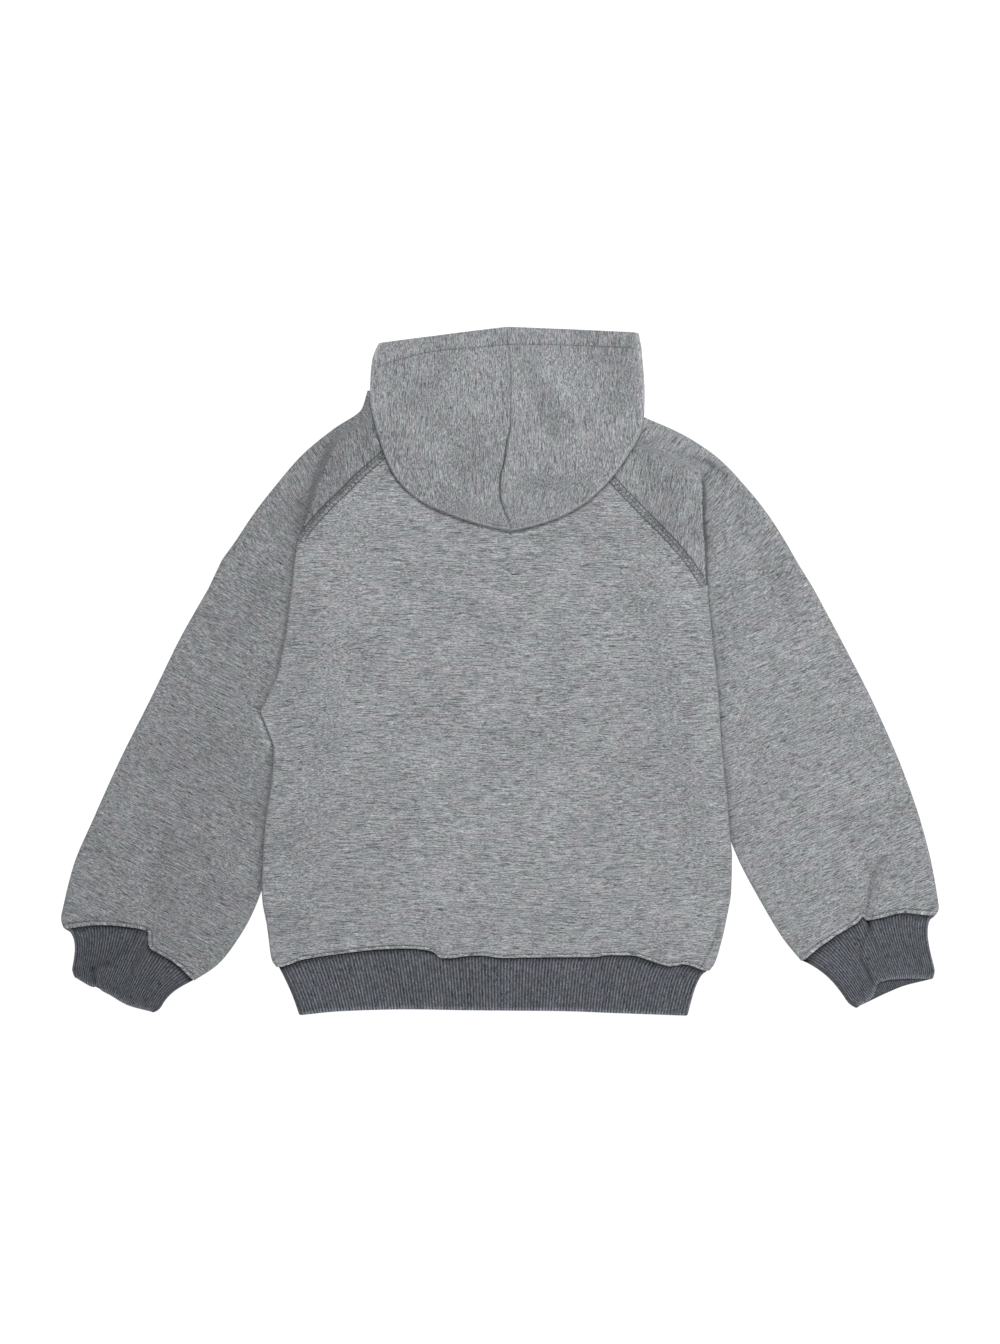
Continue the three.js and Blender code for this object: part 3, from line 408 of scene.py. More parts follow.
def pleat(angle, depth):
    """The pleat's section from its upper edge: distances out and heights, folded over by an angle."""
    turn = math.radians(angle)
    shares = (np.arange(ROLL) + 0.5) / ROLL
    chord = LAYER / np.sin(np.pi * shares).sum()
    headings = np.concatenate([turn * shares, np.full(BACK, turn), turn * shares[::-1]])
    lengths = np.concatenate([np.full(ROLL, chord), np.full(BACK, depth / BACK), np.full(ROLL, chord)])
    out = np.concatenate([[0], np.cumsum(lengths * np.cos(headings))])
    up = np.concatenate([[0], -np.cumsum(lengths * np.sin(headings))])
    return out, up


def pleat_places(row):
    """Where a section's pleat starts, how far it drops and where the climb onto it ends."""
    way = unit(row["fold"], row["outer"])
    out, up = pleat(np.clip(row["angle"], 0, 180), row["depth"])
    reach = FOLD * math.sin(math.radians(min(row["angle"], 90))) + FLEECE / 2
    start = row["fold"] - way * reach
    valley = start + way * out.min()
    return dict(way=way, out=out, up=up, start=start, drop=-up[-1],
                climb_end=abs(valley[0]) - FLEECE / 2 - 6)


def climb(x, climb_end, ramp=RAMP):
    """Share of a climb that is done at x, for a climb that ends at climb_end from the middle."""
    return smooth((np.abs(x) - (climb_end - ramp)) / ramp)


def free_of(side_line, x, y):
    """How far the top of a sleeve is free of the body's side that lies over it, from 0 to 1."""
    return smooth((np.abs(x) - np.abs(across_at(side_line, y))) / 30)


def puffed(t):
    """Share of a sleeve's puff at a share t across its top layer: full over most of it."""
    return np.sin(np.pi * np.clip(t, 0, 1)) ** 0.8


# Sleeves
def upper_section(row, side):
    """One upper section of a sleeve, from the back raglan seam round to the front one."""
    sign = SIGN[side]
    places = pleat_places(row)
    way, start = places["way"], places["start"]
    gap = SEAM / 2 * math.sqrt(0.5) * points((sign, 1))
    raglan, front = row["raglan"] + gap, row["front"] + gap
    length = np.hypot(*(start - raglan))
    cap = raglan + np.outer(seam_steps(length, CAP), start - raglan)
    away = distance_to(RAGLAN[side], cap[:, 0], cap[:, 1])
    base = SECOND + places["drop"] * climb(cap[:, 0], places["climb_end"])
    inner = smooth(away / 12) * smooth(np.linspace(1, 0, CAP + 1) * 4)
    cap_z = base + seam_relief(away, COVER_NEEDLE, 0.25) + inner * 0.8 * ripple(cap[:, 0], cap[:, 1])
    folded = with_height(start + np.outer(places["out"][1:], way), base[-1] + places["up"][1:])
    foot = folded[-1]
    across = unit(foot[:2], row["outer"])
    edge = row["outer"] - across * (FLEECE / 2 + FOLD)
    t = np.arange(1, TOP + 1) / TOP
    top = foot[:2] + np.outer(t, edge - foot[:2])
    grown = smooth((row["index"] - 2) / 4)
    puff = grown * free_of(SIDE_LINE[side], top[:, 0], top[:, 1]) * puffed(t)
    top_z = lerp(foot[2], SECOND, smooth(2 * t)) + puff * (
        PUFF + fold_height(SLEEVE_FOLDS[side], top[:, 0], top[:, 1]) + ripple(top[:, 0], top[:, 1]))
    under = edge + np.outer(np.arange(1, UNDER + HALF + 1) / (UNDER + HALF), front - edge)
    return np.concatenate([with_height(cap, cap_z), folded, with_height(top, top_z),
                           turn_round(edge, across, FIRST + FOLD, FOLD, 90, -90, ROLL),
                           with_height(under, FIRST)])


def lower_section(row, side, bend, puff, away_from_cuff):
    """One lower section of a sleeve, closed round, starting at its inner edge."""
    way = unit(row["inner"], row["outer"])
    near = row["inner"] + way * (FLEECE / 2 + FOLD)
    far = row["outer"] - way * (FLEECE / 2 + FOLD)
    middle = FIRST + FOLD
    t = np.arange(1, TOP + 1) / TOP
    top = near + np.outer(t, far - near) + bend(t)
    free = free_of(SIDE_LINE[side], top[:, 0], top[:, 1]) * puffed(t)
    top_z = SECOND + free * (puff + fold_height(SLEEVE_FOLDS[side], top[:, 0], top[:, 1])
                             + ripple(top[:, 0], top[:, 1]))
    top_z = top_z + np.where((t > 0.01) & (t < 0.99), seam_relief(away_from_cuff, TOP_NEEDLE, 0.8), 0)
    back = np.arange(1, UNDER + 1) / UNDER
    under = far + np.outer(back, near - far) + bend(1 - back)
    inner = np.array([[*(near - way * FOLD), middle]])
    return np.concatenate([inner, turn_round(near, way, middle, FOLD, 180, 90, HALF),
                           with_height(top, top_z),
                           turn_round(far, way, middle, FOLD, 90, -90, ROLL),
                           with_height(under, FIRST),
                           turn_round(near, way, middle, FOLD, -90, -180, HALF)[:-1], inner])


LOWER_ROWS = 130
NEAR_CUFF = np.array([6.5, 5, 3.9, 3.1, 2.6, 2.2, 1.8, 1.4, 1, 0.5, 0])


def lower_sections(side):
    """The closed sections of a lower sleeve. The last ones bend onto the cuff seam."""
    table = LOWER[side]
    last = len(table) - 1
    length = line_length(points([row["outer"] for row in table]))
    fine = last * (1 - NEAR_CUFF / length)
    at = np.concatenate([np.linspace(0, fine[0], LOWER_ROWS)[:-1], fine])
    seam = along(curve_through(CUFF_SEAM[side], 81), np.linspace(0, 1, 201))
    sections = []
    for row in finer(table, at):
        share = smooth((row["index"] - last * 8 / 13) / (last * 5 / 13))
        away = length * (1 - row["index"] / last)

        def bend(t):
            straight = seam[0] + np.outer(t, seam[-1] - seam[0])
            return share * (along(seam, t) - straight)
        sections.append(lower_section(row, side, bend, PUFF * (1 - 0.5 * share), away))
    return sections


def sleeve_grain(sheet, side, cap_columns):
    """Where each point lies in the cloth: along the streaks, across them, and through the cloth."""
    sign = SIGN[side]
    x, y, z = np.moveaxis(sheet, -1, 0)
    lower, shoulder, cap = (24, 52, 80) if side == "right" else (27, 55, 82)
    heading = lerp(lower, shoulder, smooth((y - 40) / 130))
    if cap_columns:
        column = np.arange(sheet.shape[1])
        share = smooth((cap_columns + ROLL - column) / ROLL)[None, :]
        heading = lerp(heading, cap, share)
    return turned(x, y, z, sign * heading, (sign * 150, 100))


def turned(x, y, z, heading, pivot):
    turn = np.radians(heading)
    dx, dy = x - pivot[0], y - pivot[1]
    return np.stack([dx * np.cos(turn) + dy * np.sin(turn), dy * np.cos(turn) - dx * np.sin(turn),
                     np.broadcast_to(z, np.shape(dx))], axis=-1)


def seam_shade(seam, sheet):
    """How dark sewn cloth is by its distance from a twin-needle seam: painted shade in the seam itself,
    and darker than the cloth between and along the needle lines."""
    away = distance_to(seam, sheet[..., 0], sheet[..., 1])
    return (0.1 * bell(away, 0.7) + 0.18 * smooth((COVER_NEEDLE + 0.8 - away) / 0.9)
            + 0.42 * bell(away - COVER_NEEDLE, 0.7))


def beside_shade(side, sheet):
    """The painted shadow on the top of a sleeve close to the body's side that lies over it."""
    x, y, z = np.moveaxis(sheet, -1, 0)
    line = EDGE_LINE[side]
    away = np.abs(x) - np.abs(across_at(line, y))
    shown = (z > SECOND - 1) & (away > -3) & (y > line[-1][1]) & (y < line[0][1])
    away, begun = np.maximum(away, 0), smooth((line[0][1] - y) / 14)
    close, wide = EDGE_SHADE[side]
    return np.where(shown, begun * (close * bell(away, 1.1) + wide * np.exp(-away / 5)), 0)


# Painted shade of a sleeve: evenly over the whole sleeve, plus the painted shade and highlights along its
# folds and edges
def painted_sleeve_shade(side, sheet):
    return SLEEVE_PAINTED_SHADE[side] + fold_height(SLEEVE_SHADES[side], sheet[..., 0], sheet[..., 1])


def edge_shade(away):
    """Shade of fleece by its distance from a rib's seam: a painted highlight at its rim, dark along the
    topstitching.
    """
    return 0.36 * bell(away - TOP_NEEDLE, 0.5) - 0.14 * bell(away, 1.0)


def sleeve(side):
    upper = np.array([upper_section(row, side) for row in finer(UPPER[side], np.linspace(0, 7, 64))])
    lower = lower_sections(side)
    joint = upper[-1][CAP + ROLL + BACK + HALF:]
    steps = np.linspace(0, 1, 12)[1:-1]
    between = [lerp(joint, lower[0], t) for t in steps]
    closed = np.array([joint, *between, *lower])
    flip = side == "right"
    cap = np.arange(upper.shape[1]) <= CAP
    # Painted shade in the raglan seam on the cap, the painted shadow beside the body's side elsewhere, and
    # by the cuff a painted highlight at the rim with a darker topstitching line
    band = np.where(cap, seam_shade(RAGLAN[side], upper), beside_shade(side, upper))
    by_cuff = edge_shade(distance_to(curve_through(CUFF_SEAM[side], 41), closed[..., 0], closed[..., 1]))
    by_cuff = by_cuff * (closed[..., 2] > SECOND - 1)
    sheets = [dict(points=upper, flip=flip, grain=sleeve_grain(upper, side, CAP),
                   shade=band + painted_sleeve_shade(side, upper)),
              dict(points=closed, flip=flip, grain=sleeve_grain(closed, side, 0),
                   shade=beside_shade(side, closed) + by_cuff + painted_sleeve_shade(side, closed))]
    return shell("sleeve_" + side, sheets, FLEECE, SEAM / 2)


# Body
NEAR_SEAM = np.array([0, 0.9, 1.8, 2.7, 3.3, 3.9, 4.5, 5.4, 6.8, 9, 12, 16, 20, 25, 30, 35, 40, 45, 50])
MIDDLE_STEPS = 84


def across_body(left, right):
    """Places across one section of the body, close together at its seams."""
    middle = np.linspace(left + NEAR_SEAM[-1], right - NEAR_SEAM[-1], MIDDLE_STEPS + 1)[1:-1]
    return np.concatenate([left + NEAR_SEAM, middle, right - NEAR_SEAM[::-1]])


def upper_body_section(rows):
    """A section of the body above the arms, from the rows of the sleeves beside it."""
    place = np.array([rows["right"]["index"]])
    section = dict(back_neck=float(monotone(BACK_NECK_DROP, place)[0]),
                   front_neck=float(monotone(FRONT_NECK_DROP, place)[0]), on_hem=0.0)
    for side, row in rows.items():
        places = pleat_places(row)
        inside = -SEAM / 2 * math.sqrt(0.5) * points((SIGN[side], 1))
        section.update({
            "back_" + side: row["raglan"] + inside, "front_" + side: row["front"] + inside,
            "climb_" + side: places["climb_end"], "drop_" + side: places["drop"],
            "front_drop_" + side: 0.0, "start_" + side: places["start"], "return_" + side: row["depth"]})
    return section


def lower_body_section(row):
    """A section of the body below the arms, between its folded sides."""
    last = len(BODY_ROWS) - 1
    on_hem = float(np.interp(row["index"], [last - 2, last - 1, last], [0, 0.4, 1]))
    section = dict(back_neck=0.0, front_neck=0.0, on_hem=on_hem)
    for side, sign in SIGN.items():
        y, seam = row[side], row["seam"]
        start = across_at(SIDE_LINE[side], y) - sign * (FOLD + FLEECE / 2)
        inside = abs(across_at(INNER_LINE[side], y)) + FLEECE / 2
        drop = 2 * LAYER * row["lift_" + side]
        section.update({
            "back_" + side: points((start - sign * LEAD, y)),
            "front_" + side: points((start - sign * (seam + SEAM), y)),
            "climb_" + side: min(inside - 2 - row["clear"], sign * start - LEAD - 5),
            "drop_" + side: drop, "front_drop_" + side: drop, "start_" + side: points((start, y)),
            "return_" + side: seam})
    return section


def body_sections():
    """Every section of the body, and the number of those above the arms."""
    places = np.linspace(0, 7, 50)
    upper = [upper_body_section({"right": right, "left": left})
             for right, left in zip(finer(UPPER["right"], places), finer(UPPER["left"], places))]
    last = len(BODY_ROWS) - 1
    fine = last - NEAR_CUFF / 17
    at = np.concatenate([np.linspace(0, fine[0], 125)[:-1], fine])
    lower = [lower_body_section(row) for row in finer(BODY_ROWS, at)]
    between = [{name: lerp(upper[-1][name], lower[0][name], t) for name in lower[0]}
               for t in np.linspace(0, 1, 8)[1:-1]]
    return upper + between + lower, len(upper), len(between)


def plan_height(section, ends, neck, x):
    """Plan height of a section at x: straight between its ends, dipped at the neck, on the hem below."""
    t = np.clip((x - ends[0][0]) / (ends[1][0] - ends[0][0]), 0, 1)
    straight = lerp(ends[0][1], ends[1][1], t) + neck * (1 - (2 * t - 1) ** 2)
    hem = height_at(HEM_LINE, x) - lerp(HEM_LINE[0][1], HEM_LINE[-1][1], t)
    return straight + section["on_hem"] * hem


def body_row(section, face, height):
    ends = (section[face + "_left"], section[face + "_right"])
    x = across_body(ends[0][0], ends[1][0])
    y = plan_height(section, ends, section[face + "_neck"], x)
    return np.column_stack([x, y, height(section, x, y)])


# Where the right side seam comes into sight below the sleeve
SIDE_SEAM = [(171.5, -165), (168.4, -177), (159.7, -204.4), (153, -218), (150.7, -222)]


def back_height(section, x, y):
    lifted = (section["drop_left"] * np.where(x < 0, climb(x, section["climb_left"]), 0)
              + section["drop_right"] * np.where(x > 0, climb(x, section["climb_right"]), 0))
    inside = smooth((95 - y) / 60) * smooth((y + 227) / 30) * smooth((150 - np.abs(x)) / 90)
    middle = smooth((166 - np.abs(x)) / 20) * smooth((y + 222) / 14) * smooth((170 - y) / 30)
    on_seam = np.minimum(distance_to(RAGLAN["right"], x, y), distance_to(RAGLAN["left"], x, y))
    above_hem = distance_to(HEM_LINE, x, y) + np.where(section["on_hem"] > 0.2, 0, 20)
    middle = middle * smooth(on_seam / 14)
    return (SECOND + lifted + CROWN * inside + middle * (fold_height(BACK_FOLDS, x, y) + ripple(x, y))
            + seam_relief(on_seam, COVER_NEEDLE, 0.25) + seam_relief(above_hem, TOP_NEEDLE, 0.8))


def front_height(section, x, y):
    left = section["front_drop_left"] * climb(x, section["climb_left"], FRONT_RAMP)
    right = section["front_drop_right"] * climb(x, section["climb_right"], FRONT_RAMP)
    return FIRST + np.where(x < 0, left, right)


def body_grain(sheet):
    x, y, z = np.moveaxis(sheet, -1, 0)
    wave = 2.5 * np.sin(x / 55 + 0.6) * smooth((120 - y) / 200)
    return turned(x, y + wave, z, np.zeros(x.shape), (0, 0))


def side_flap(sections, rows, side, upper_count, between):
    """The body's folded side: crest roll and return under the panel's edge."""
    sign = SIGN[side]
    column = -1 if side == "right" else 0
    under = upper_count - 1
    flap = []
    for i in range(under, len(sections)):
        section, edge = sections[i], rows[i][column]
        start, y = section["start_" + side], edge[1]
        if i == under:
            places = pleat_places(finer(UPPER[side], np.array([7.0]))[0])
            low = start - points((0, 2 * SEAM))
            count = 1 + ROLL + BACK
            folded = with_height(low + np.outer(places["out"][:count], places["way"]),
                                 edge[2] + places["up"][:count])
            flap.append(np.concatenate([[edge], folded]))
            continue
        z = edge[2] - FOLD
        centre = points((start[0], y))
        end = centre - points((sign * section["return_" + side], 0))
        back = centre + np.outer(np.arange(1, BACK + 1) / BACK, end - centre)
        drop = section["drop_" + side]
        back_z = z - FOLD - drop * (1 - climb(back[:, 0], section["climb_" + side]))
        flap.append(np.concatenate([[edge, [start[0], y, edge[2]]],
                                    turn_round(centre, points((sign, 0)), z, FOLD, 90, -90, ROLL),
                                    with_height(back, back_z)]))
    for i in range(1, between + 1):
        t = i / (between + 1)
        blended = lerp(flap[0], flap[between + 1], t)
        blended[0] = rows[under + i][column]
        flap[i] = blended
    return np.array(flap)


# Painted shade in the side seam's groove, and the painted shade and highlights of BACK_SHADES
def back_painted_shade(x, y):
    seam = 0.55 * bell(distance_to(points(SIDE_SEAM), x, y), 0.7)
    return seam + fold_height(BACK_SHADES, x, y)


def back_panel():
    sections, upper_count, between = body_sections()
    rows = np.array([body_row(section, "back", back_height) for section in sections])
    # Painted shade in the raglan seams, a painted highlight at the hem's rim with a darker topstitching
    # line, and the back's painted shade
    band = np.maximum(seam_shade(RAGLAN["left"], rows), seam_shade(RAGLAN["right"], rows))
    x, y = rows[..., 0], rows[..., 1]
    band = band + np.where(y < -180, edge_shade(distance_to(HEM_LINE, x, y)), 0)
    band = band + back_painted_shade(x, y)
    sheets = [dict(points=rows, flip=True, grain=body_grain(rows), shade=band)]
    for side in ("left", "right"):
        flap = side_flap(sections, rows, side, upper_count, between)
        sheets.append(dict(points=flap, flip=side == "right", grain=body_grain(flap),
                           shade=back_painted_shade(flap[..., 0], flap[..., 1])))
    return shell("back_panel", sheets, FLEECE, SEAM / 2)


def front_panel():
    sections, _, _ = body_sections()
    rows = np.array([body_row(section, "front", front_height) for section in sections[::2]
                     + [sections[-1]] * (len(sections) % 2 == 0)])
    rows = rows[:, ::2]
    return shell("front_panel", [dict(points=rows, flip=False, grain=body_grain(rows))], FLEECE, SEAM / 2)


# Hood
HOOD_TOP, HOOD_UNDER = 44, 18
# Painted shade laid evenly over the whole hood
HOOD_PAINTED_SHADE = 0.05


def hood_section(row, side):
    """One section of a hood half: top layer from the centre seam, folded side, under layer."""
    sign = SIGN[side]
    index, last = row["index"], row["index"] >= len(HOOD) - 1
    on_seam = index <= 0 or index >= NECK_END + 1
    crown = row["crown"] + points((sign * SEAM / 2, 0))
    end = row["neck_" + side] + points((sign * SEAM / 2 * on_seam, 0))
    edge = points((crown[0], row[side][1])) if last else row[side]
    way, back = unit(crown, edge), unit(end, edge)
    reach = FLEECE / 2 + row["roll"]
    centre = edge - way * reach
    under_from = centre if last else edge - back * reach
    side_top = row["under"] + 2 * row["roll"]
    length = np.hypot(*(centre - crown))
    t = seam_steps(length, HOOD_TOP) if length > 12 else np.linspace(0, 1, HOOD_TOP + 1)
    top = crown + np.outer(t, centre - crown)
    x, y = top[:, 0], top[:, 1]
    shaped = np.sin(np.pi * np.clip(t * 0.95 + 0.05, 0, 1)) * smooth((len(HOOD) - 1.6 - index) / 3)
    top_z = lerp(row["top"], side_top, t ** 2.2) + shaped * (fold_height(HOOD_FOLDS, x, y)
                                                            + 1.2 * ripple(x + 40, y))
    sunk = lerp(0.4, 1.5, smooth((205 - crown[1]) / 55)) * (not last)
    top_z = top_z - sunk * bell(t * length, 1.5)
    hem = distance_to(HOOD_HEM_LINE, x, y)
    above = y > height_at(HOOD_HEM_LINE, x)
    top_z = top_z + 0.35 * np.where(above, 1, bell(hem, 1.5)) - 0.4 * bell(hem, 0.8)
    shares = np.arange(1, ROLL + 1) / ROLL
    base = lerp(centre, under_from, shares[:, None])
    heading = lerp(way, way if last else back, shares[:, None])
    rolled = turn_round(base, heading, row["under"] + row["roll"], row["roll"], 90, -90, ROLL)
    under = under_from + np.outer(np.arange(1, HOOD_UNDER + 1) / HOOD_UNDER, end - under_from)
    return np.concatenate([with_height(top, top_z), rolled, with_height(under, row["under"])])


def hood_half(side):
    sign = SIGN[side]
    at = np.unique(np.concatenate([np.linspace(0, 2, 29), np.linspace(2, len(HOOD) - 1, 112)]))
    rows = np.array([hood_section(row, side) for row in finer(HOOD, at)])
    x, y, z = np.moveaxis(rows, -1, 0)
    lean = 24 * np.clip(x / 80, -1, 1) * smooth((190 - y) / 70)
    grain = turned(x, y, z, 90 - lean, (0, 150))
    upright = np.zeros(rows.shape[:2], bool)
    upright[:, 0] = True
    upright[(at <= 0) | (at >= NECK_END + 1), -1] = True
    upright[-1] = True
    # Painted shade in the centre seam and along the hem's stitching groove, the painted shade and highlights
    # of HOOD_SHADES, and a painted highlight on the rolled sides and under layer
    from_seam = np.hypot(x - rows[:, :1, 0], y - rows[:, :1, 1])
    lower = smooth((205 - y) / 55)
    shade = lerp(0.2, 1.0, lower) * bell(from_seam, lerp(0.75, 1.0, lower))
    shade = shade + 0.25 * bell(distance_to(HOOD_HEM_LINE, x, y), 0.9)
    shade = shade + fold_height(HOOD_SHADES, x, y) + HOOD_PAINTED_SHADE
    shade[:, HOOD_TOP + 1:] = -0.3
    sheet = dict(points=rows, flip=sign > 0, grain=grain, upright=upright, shade=shade)
    return shell("hood_" + side, [sheet], FLEECE, SEAM / 2)


# Ribs
SEAM_DIP = 1.5             # how far a rib's top layer sinks at its seam with the fleece


def rib_ring(name, top_seam, top_mouth, under_seam, under_mouth, ribs, flip, shape, pinch, corner, tone):
    """A flattened ring of ribbed knit between a seam line and a mouth line, for its top and its under
    layer, with furrows on the top one. shape adds height to the top layer at points, pinch is how far
    each side is drawn in and a power that says where, corner how far its corners are rounded, and tone
    adds painted shade and painted highlights to the top layer at points."""
    per_rib, rows = 6, 18
    low, high = RIB / 2, RIB / 2 + RIB_LAYER
    radius = RIB_LAYER / 2
    reach = RIB / 2 + radius
    s = np.linspace(0, 1, ribs * per_rib + 1)
    under_s = np.linspace(1, 0, ribs * 2 + 1)
    sections, reliefs, grains = [], [], []
    for t in np.linspace(0, 1, rows + 1):
        top = lerp(top_seam(s), top_mouth(s), t)
        under = lerp(under_seam(under_s), under_mouth(under_s), t)
        middle = len(s) // 2
        out, away = unit(top[middle], top[-1]), unit(top[middle], top[0])
        turned_in = corner * max(0, (t - 0.84) / 0.16) ** 2
        near, far = [depth * math.sin(math.pi * t ** power) + turned_in for depth, power in pinch]
        top = top - np.outer((1 - s) ** 3 * near, away) - np.outer(s ** 3 * far, out)
        under = under - np.outer((1 - under_s) ** 3 * near, away) - np.outer(under_s ** 3 * far, out)
        inset = top - reach * (np.outer(1 - s, away) + np.outer(s, out))
        under_inset = under - reach * (np.outer(1 - under_s, away) + np.outer(under_s, out))
        shares = np.arange(1, ROLL + 1)[:, None] / ROLL
        end = turn_round(lerp(inset[-1], under_inset[0], shares), out, low + radius, radius, 90, -90, ROLL)
        back = turn_round(lerp(under_inset[-1], inset[0], shares), away, low + radius, radius, -90, 90, ROLL)
        inside = np.sin(np.pi * s) ** 0.4
        top_z = high + inside * shape(inset[:, 0], inset[:, 1])
        # A rib is broad and round, a furrow narrow
        furrow = (0.5 + 0.5 * np.cos(2 * math.pi * s * ribs)) ** 2
        ends = smooth(t * 12) * 0.75 + 0.25
        top_z = top_z - SEAM_DIP * bell(t, 0.12)
        ring = np.concatenate([with_height(inset, top_z), end, with_height(under_inset[1:], low),
                               back[:-1], with_height(inset[:1], top_z[0])])
        relief = np.concatenate([-RIB_DEPTH * furrow * ends, np.zeros(len(ring) - len(s))])
        phase = np.concatenate([s * ribs, ribs + shares[:, 0] * 2, ribs + 2 + (1 - under_s[1:]) * ribs,
                                2 * ribs + 2 + shares[:-1, 0] * 2, [2 * ribs + 4]])
        depth = np.full(len(ring), t * np.hypot(*(top_mouth(s)[middle] - top_seam(s)[middle])))
        sections.append(ring)
        reliefs.append(relief)
        grains.append(np.column_stack([depth, phase * RIB_PITCH, ring[:, 2]]))
    rings = np.array(sections)
    down = np.linspace(0, 1, rows + 1)[:, None]
    # Painted shadow below the seam, a painted highlight along the top layer's mouth, and painted shade on
    # the under layer and, through inner_shade, on the inner side
    shade = np.repeat(0.9 * bell(down, 0.075), rings.shape[1], axis=1)
    top = slice(0, len(s))
    shade[:, top] += tone(rings[:, top, 0], rings[:, top, 1]) - 0.8 * smooth((down - 0.94) / 0.06)
    shade[:, len(s) + ROLL:] += 0.5
    sheet = dict(points=rings, flip=flip, grain=np.array(grains), relief=np.array(reliefs), shade=shade)
    return shell(name, [sheet], RIB, RIB / 2, 0.35)


def hem_rib():
    sections, _, _ = body_sections()
    edges = [body_row(sections[-1], face, lambda section, x, y: 0 * x) for face in ("back", "front")]
    left, right = HEM_LINE[0][0] + 2, HEM_LINE[-1][0] - 2
    low = curve_through(HEM_LOW, 41)

    def seam(s):
        x = lerp(left, right, s)
        y = np.minimum(*[height_at(edge[:, :2], x) for edge in edges]) - 1.2 * SEAM
        return np.column_stack([x, y])

    def mouth(s):
        return along(low, s)

    def shape(x, y):
        tucks = [((-46, -213), (-42, -236), 4, 0.9), ((-38, -214), (-36, -232), 3, -0.7),
                 ((124, -219), (120, -240), 4, 0.9), ((131, -220), (128, -236), 3, -0.6),
                 ((-120, -232), (-60, -236), 10, 0.4), ((30, -240), (90, -232), 12, 0.4)]
        return fold_height(tucks, x, y) + 0.5 * ripple(x, y)

    ribs = round((right - left) / RIB_PITCH)
    return rib_ring("hem_rib", seam, mouth, seam, mouth, ribs, True, shape,
                    ((1, 1), (3.2, 0.56)), 0, lambda x, y: 0 * x)


# Painted shade and painted highlights on the cuffs' top layers, in the same form as the folds
CUFF_SHADES = {
    "right": [((274, -184.5), (278.5, -192), 1.3, 0.9), ((277, -192), (271, -206), 1.5, 0.3),
              ((271, -206), (271, -217), 1.4, 0.25), ((271, -217), (281, -235.5), 1.3, 0.5),
              ((284, -229), (318, -226), 4, -0.1)],
    "left": [((-262, -215), (-300, -222), 40, 0.22), ((-272, -196), (-280, -209), 2, 0.1),
             ((-280, -209), (-294, -219.5), 1.6, 0.3), ((-294, -219.5), (-307, -222.5), 1.6, 0.35),
             ((-306, -223), (-303, -236), 1.5, 0.5)],
}
CUFF_PINCH = {"right": ((4.6, 0.85), (6, 0.56)), "left": ((3.9, 1.1), (6.2, 0.58))}
CUFF_FOLDS = {
    "right": [((276, -190), (270, -212), 3, -1.3), ((270, -212), (281, -238), 3, -1.5),
              ((294, -192), (298, -226), 7, 0.8), ((248, -206), (268, -240), 6, 0.6),
              ((312, -186), (316, -226), 5, -0.5)],
    "left": [((-276, -202), (-305, -224), 4, -1.5), ((-262, -210), (-290, -236), 7, 1.2),
             ((-288, -194), (-308, -222), 7, 0.9), ((-246, -222), (-268, -244), 5, -0.5)],
}


def cuff(side):
    """A cuff, sewn to the last section of its sleeve."""
    last = lower_sections(side)[-1]
    first_top = HALF + 1
    edge = np.concatenate([last[:1], last[first_top - 1:first_top + TOP],
                           last[first_top + TOP + ROLL // 2 - 1:first_top + TOP + ROLL // 2]])[:, :2]
    top_mouth = curve_through(CUFF_TOP_MOUTH[side], 61)
    under_mouth = curve_through(CUFF_UNDER_MOUTH[side], 61)
    drop = unit(along(edge, 0.5), along(top_mouth, 0.5))

    def seam(s):
        return along(edge, s) + drop * 1.5 * SEAM

    return rib_ring("cuff_" + side, seam, lambda s: along(top_mouth, s), seam,
                    lambda s: along(under_mouth, s), CUFF_RIBS, side == "right",
                    lambda x, y: fold_height(CUFF_FOLDS[side], x, y), CUFF_PINCH[side], 2.8,
                    lambda x, y: fold_height(CUFF_SHADES[side], x, y))


# Shells
def merged(sheets):
    """The sheets' points with those in the same place made one, and each sheet's numbers of its points."""
    all_points = np.concatenate([sheet["points"].reshape(-1, 3) for sheet in sheets])
    _, first, number = np.unique(np.round(all_points, 3), axis=0, return_index=True, return_inverse=True)
    number = number.reshape(-1)
    numbers, start = [], 0
    for sheet in sheets:
        rows, columns = sheet["points"].shape[:2]
        numbers.append(number[start:start + rows * columns].reshape(rows, columns))
        start += rows * columns
    return all_points[first], first, numbers


def sheet_faces(numbers, flip):
    a, b = numbers[:-1, :-1], numbers[:-1, 1:]
    c, d = numbers[1:, 1:], numbers[1:, :-1]
    order = (a, d, c, b) if flip else (a, b, c, d)
    faces = np.stack(order, axis=-1).reshape(-1, 4)
    kept = []
    for face in faces.tolist():
        corners = [v for i, v in enumerate(face) if v != face[i - 1]]
        if len(set(corners)) == len(corners) and len(corners) > 2:
            kept.append(corners)
    return kept


def add_normals(normals, places, faces):
    for size in (3, 4):
        some = np.array([face for face in faces if len(face) == size], int)
        if not len(some):
            continue
        p = places[some]
        cross = np.cross(p[:, 2] - p[:, 0], p[:, -1] - p[:, 1])
        for k in range(size):
            np.add.at(normals, some[:, k], cross)


def gathered(sheets, key, default, first):
    """One of the sheets' values at every merged point, with a default for sheets that don't have it."""
    return np.concatenate([sheet.get(key, np.full(sheet["points"].shape[:2], default)).reshape(-1)
                           for sheet in sheets])[first]


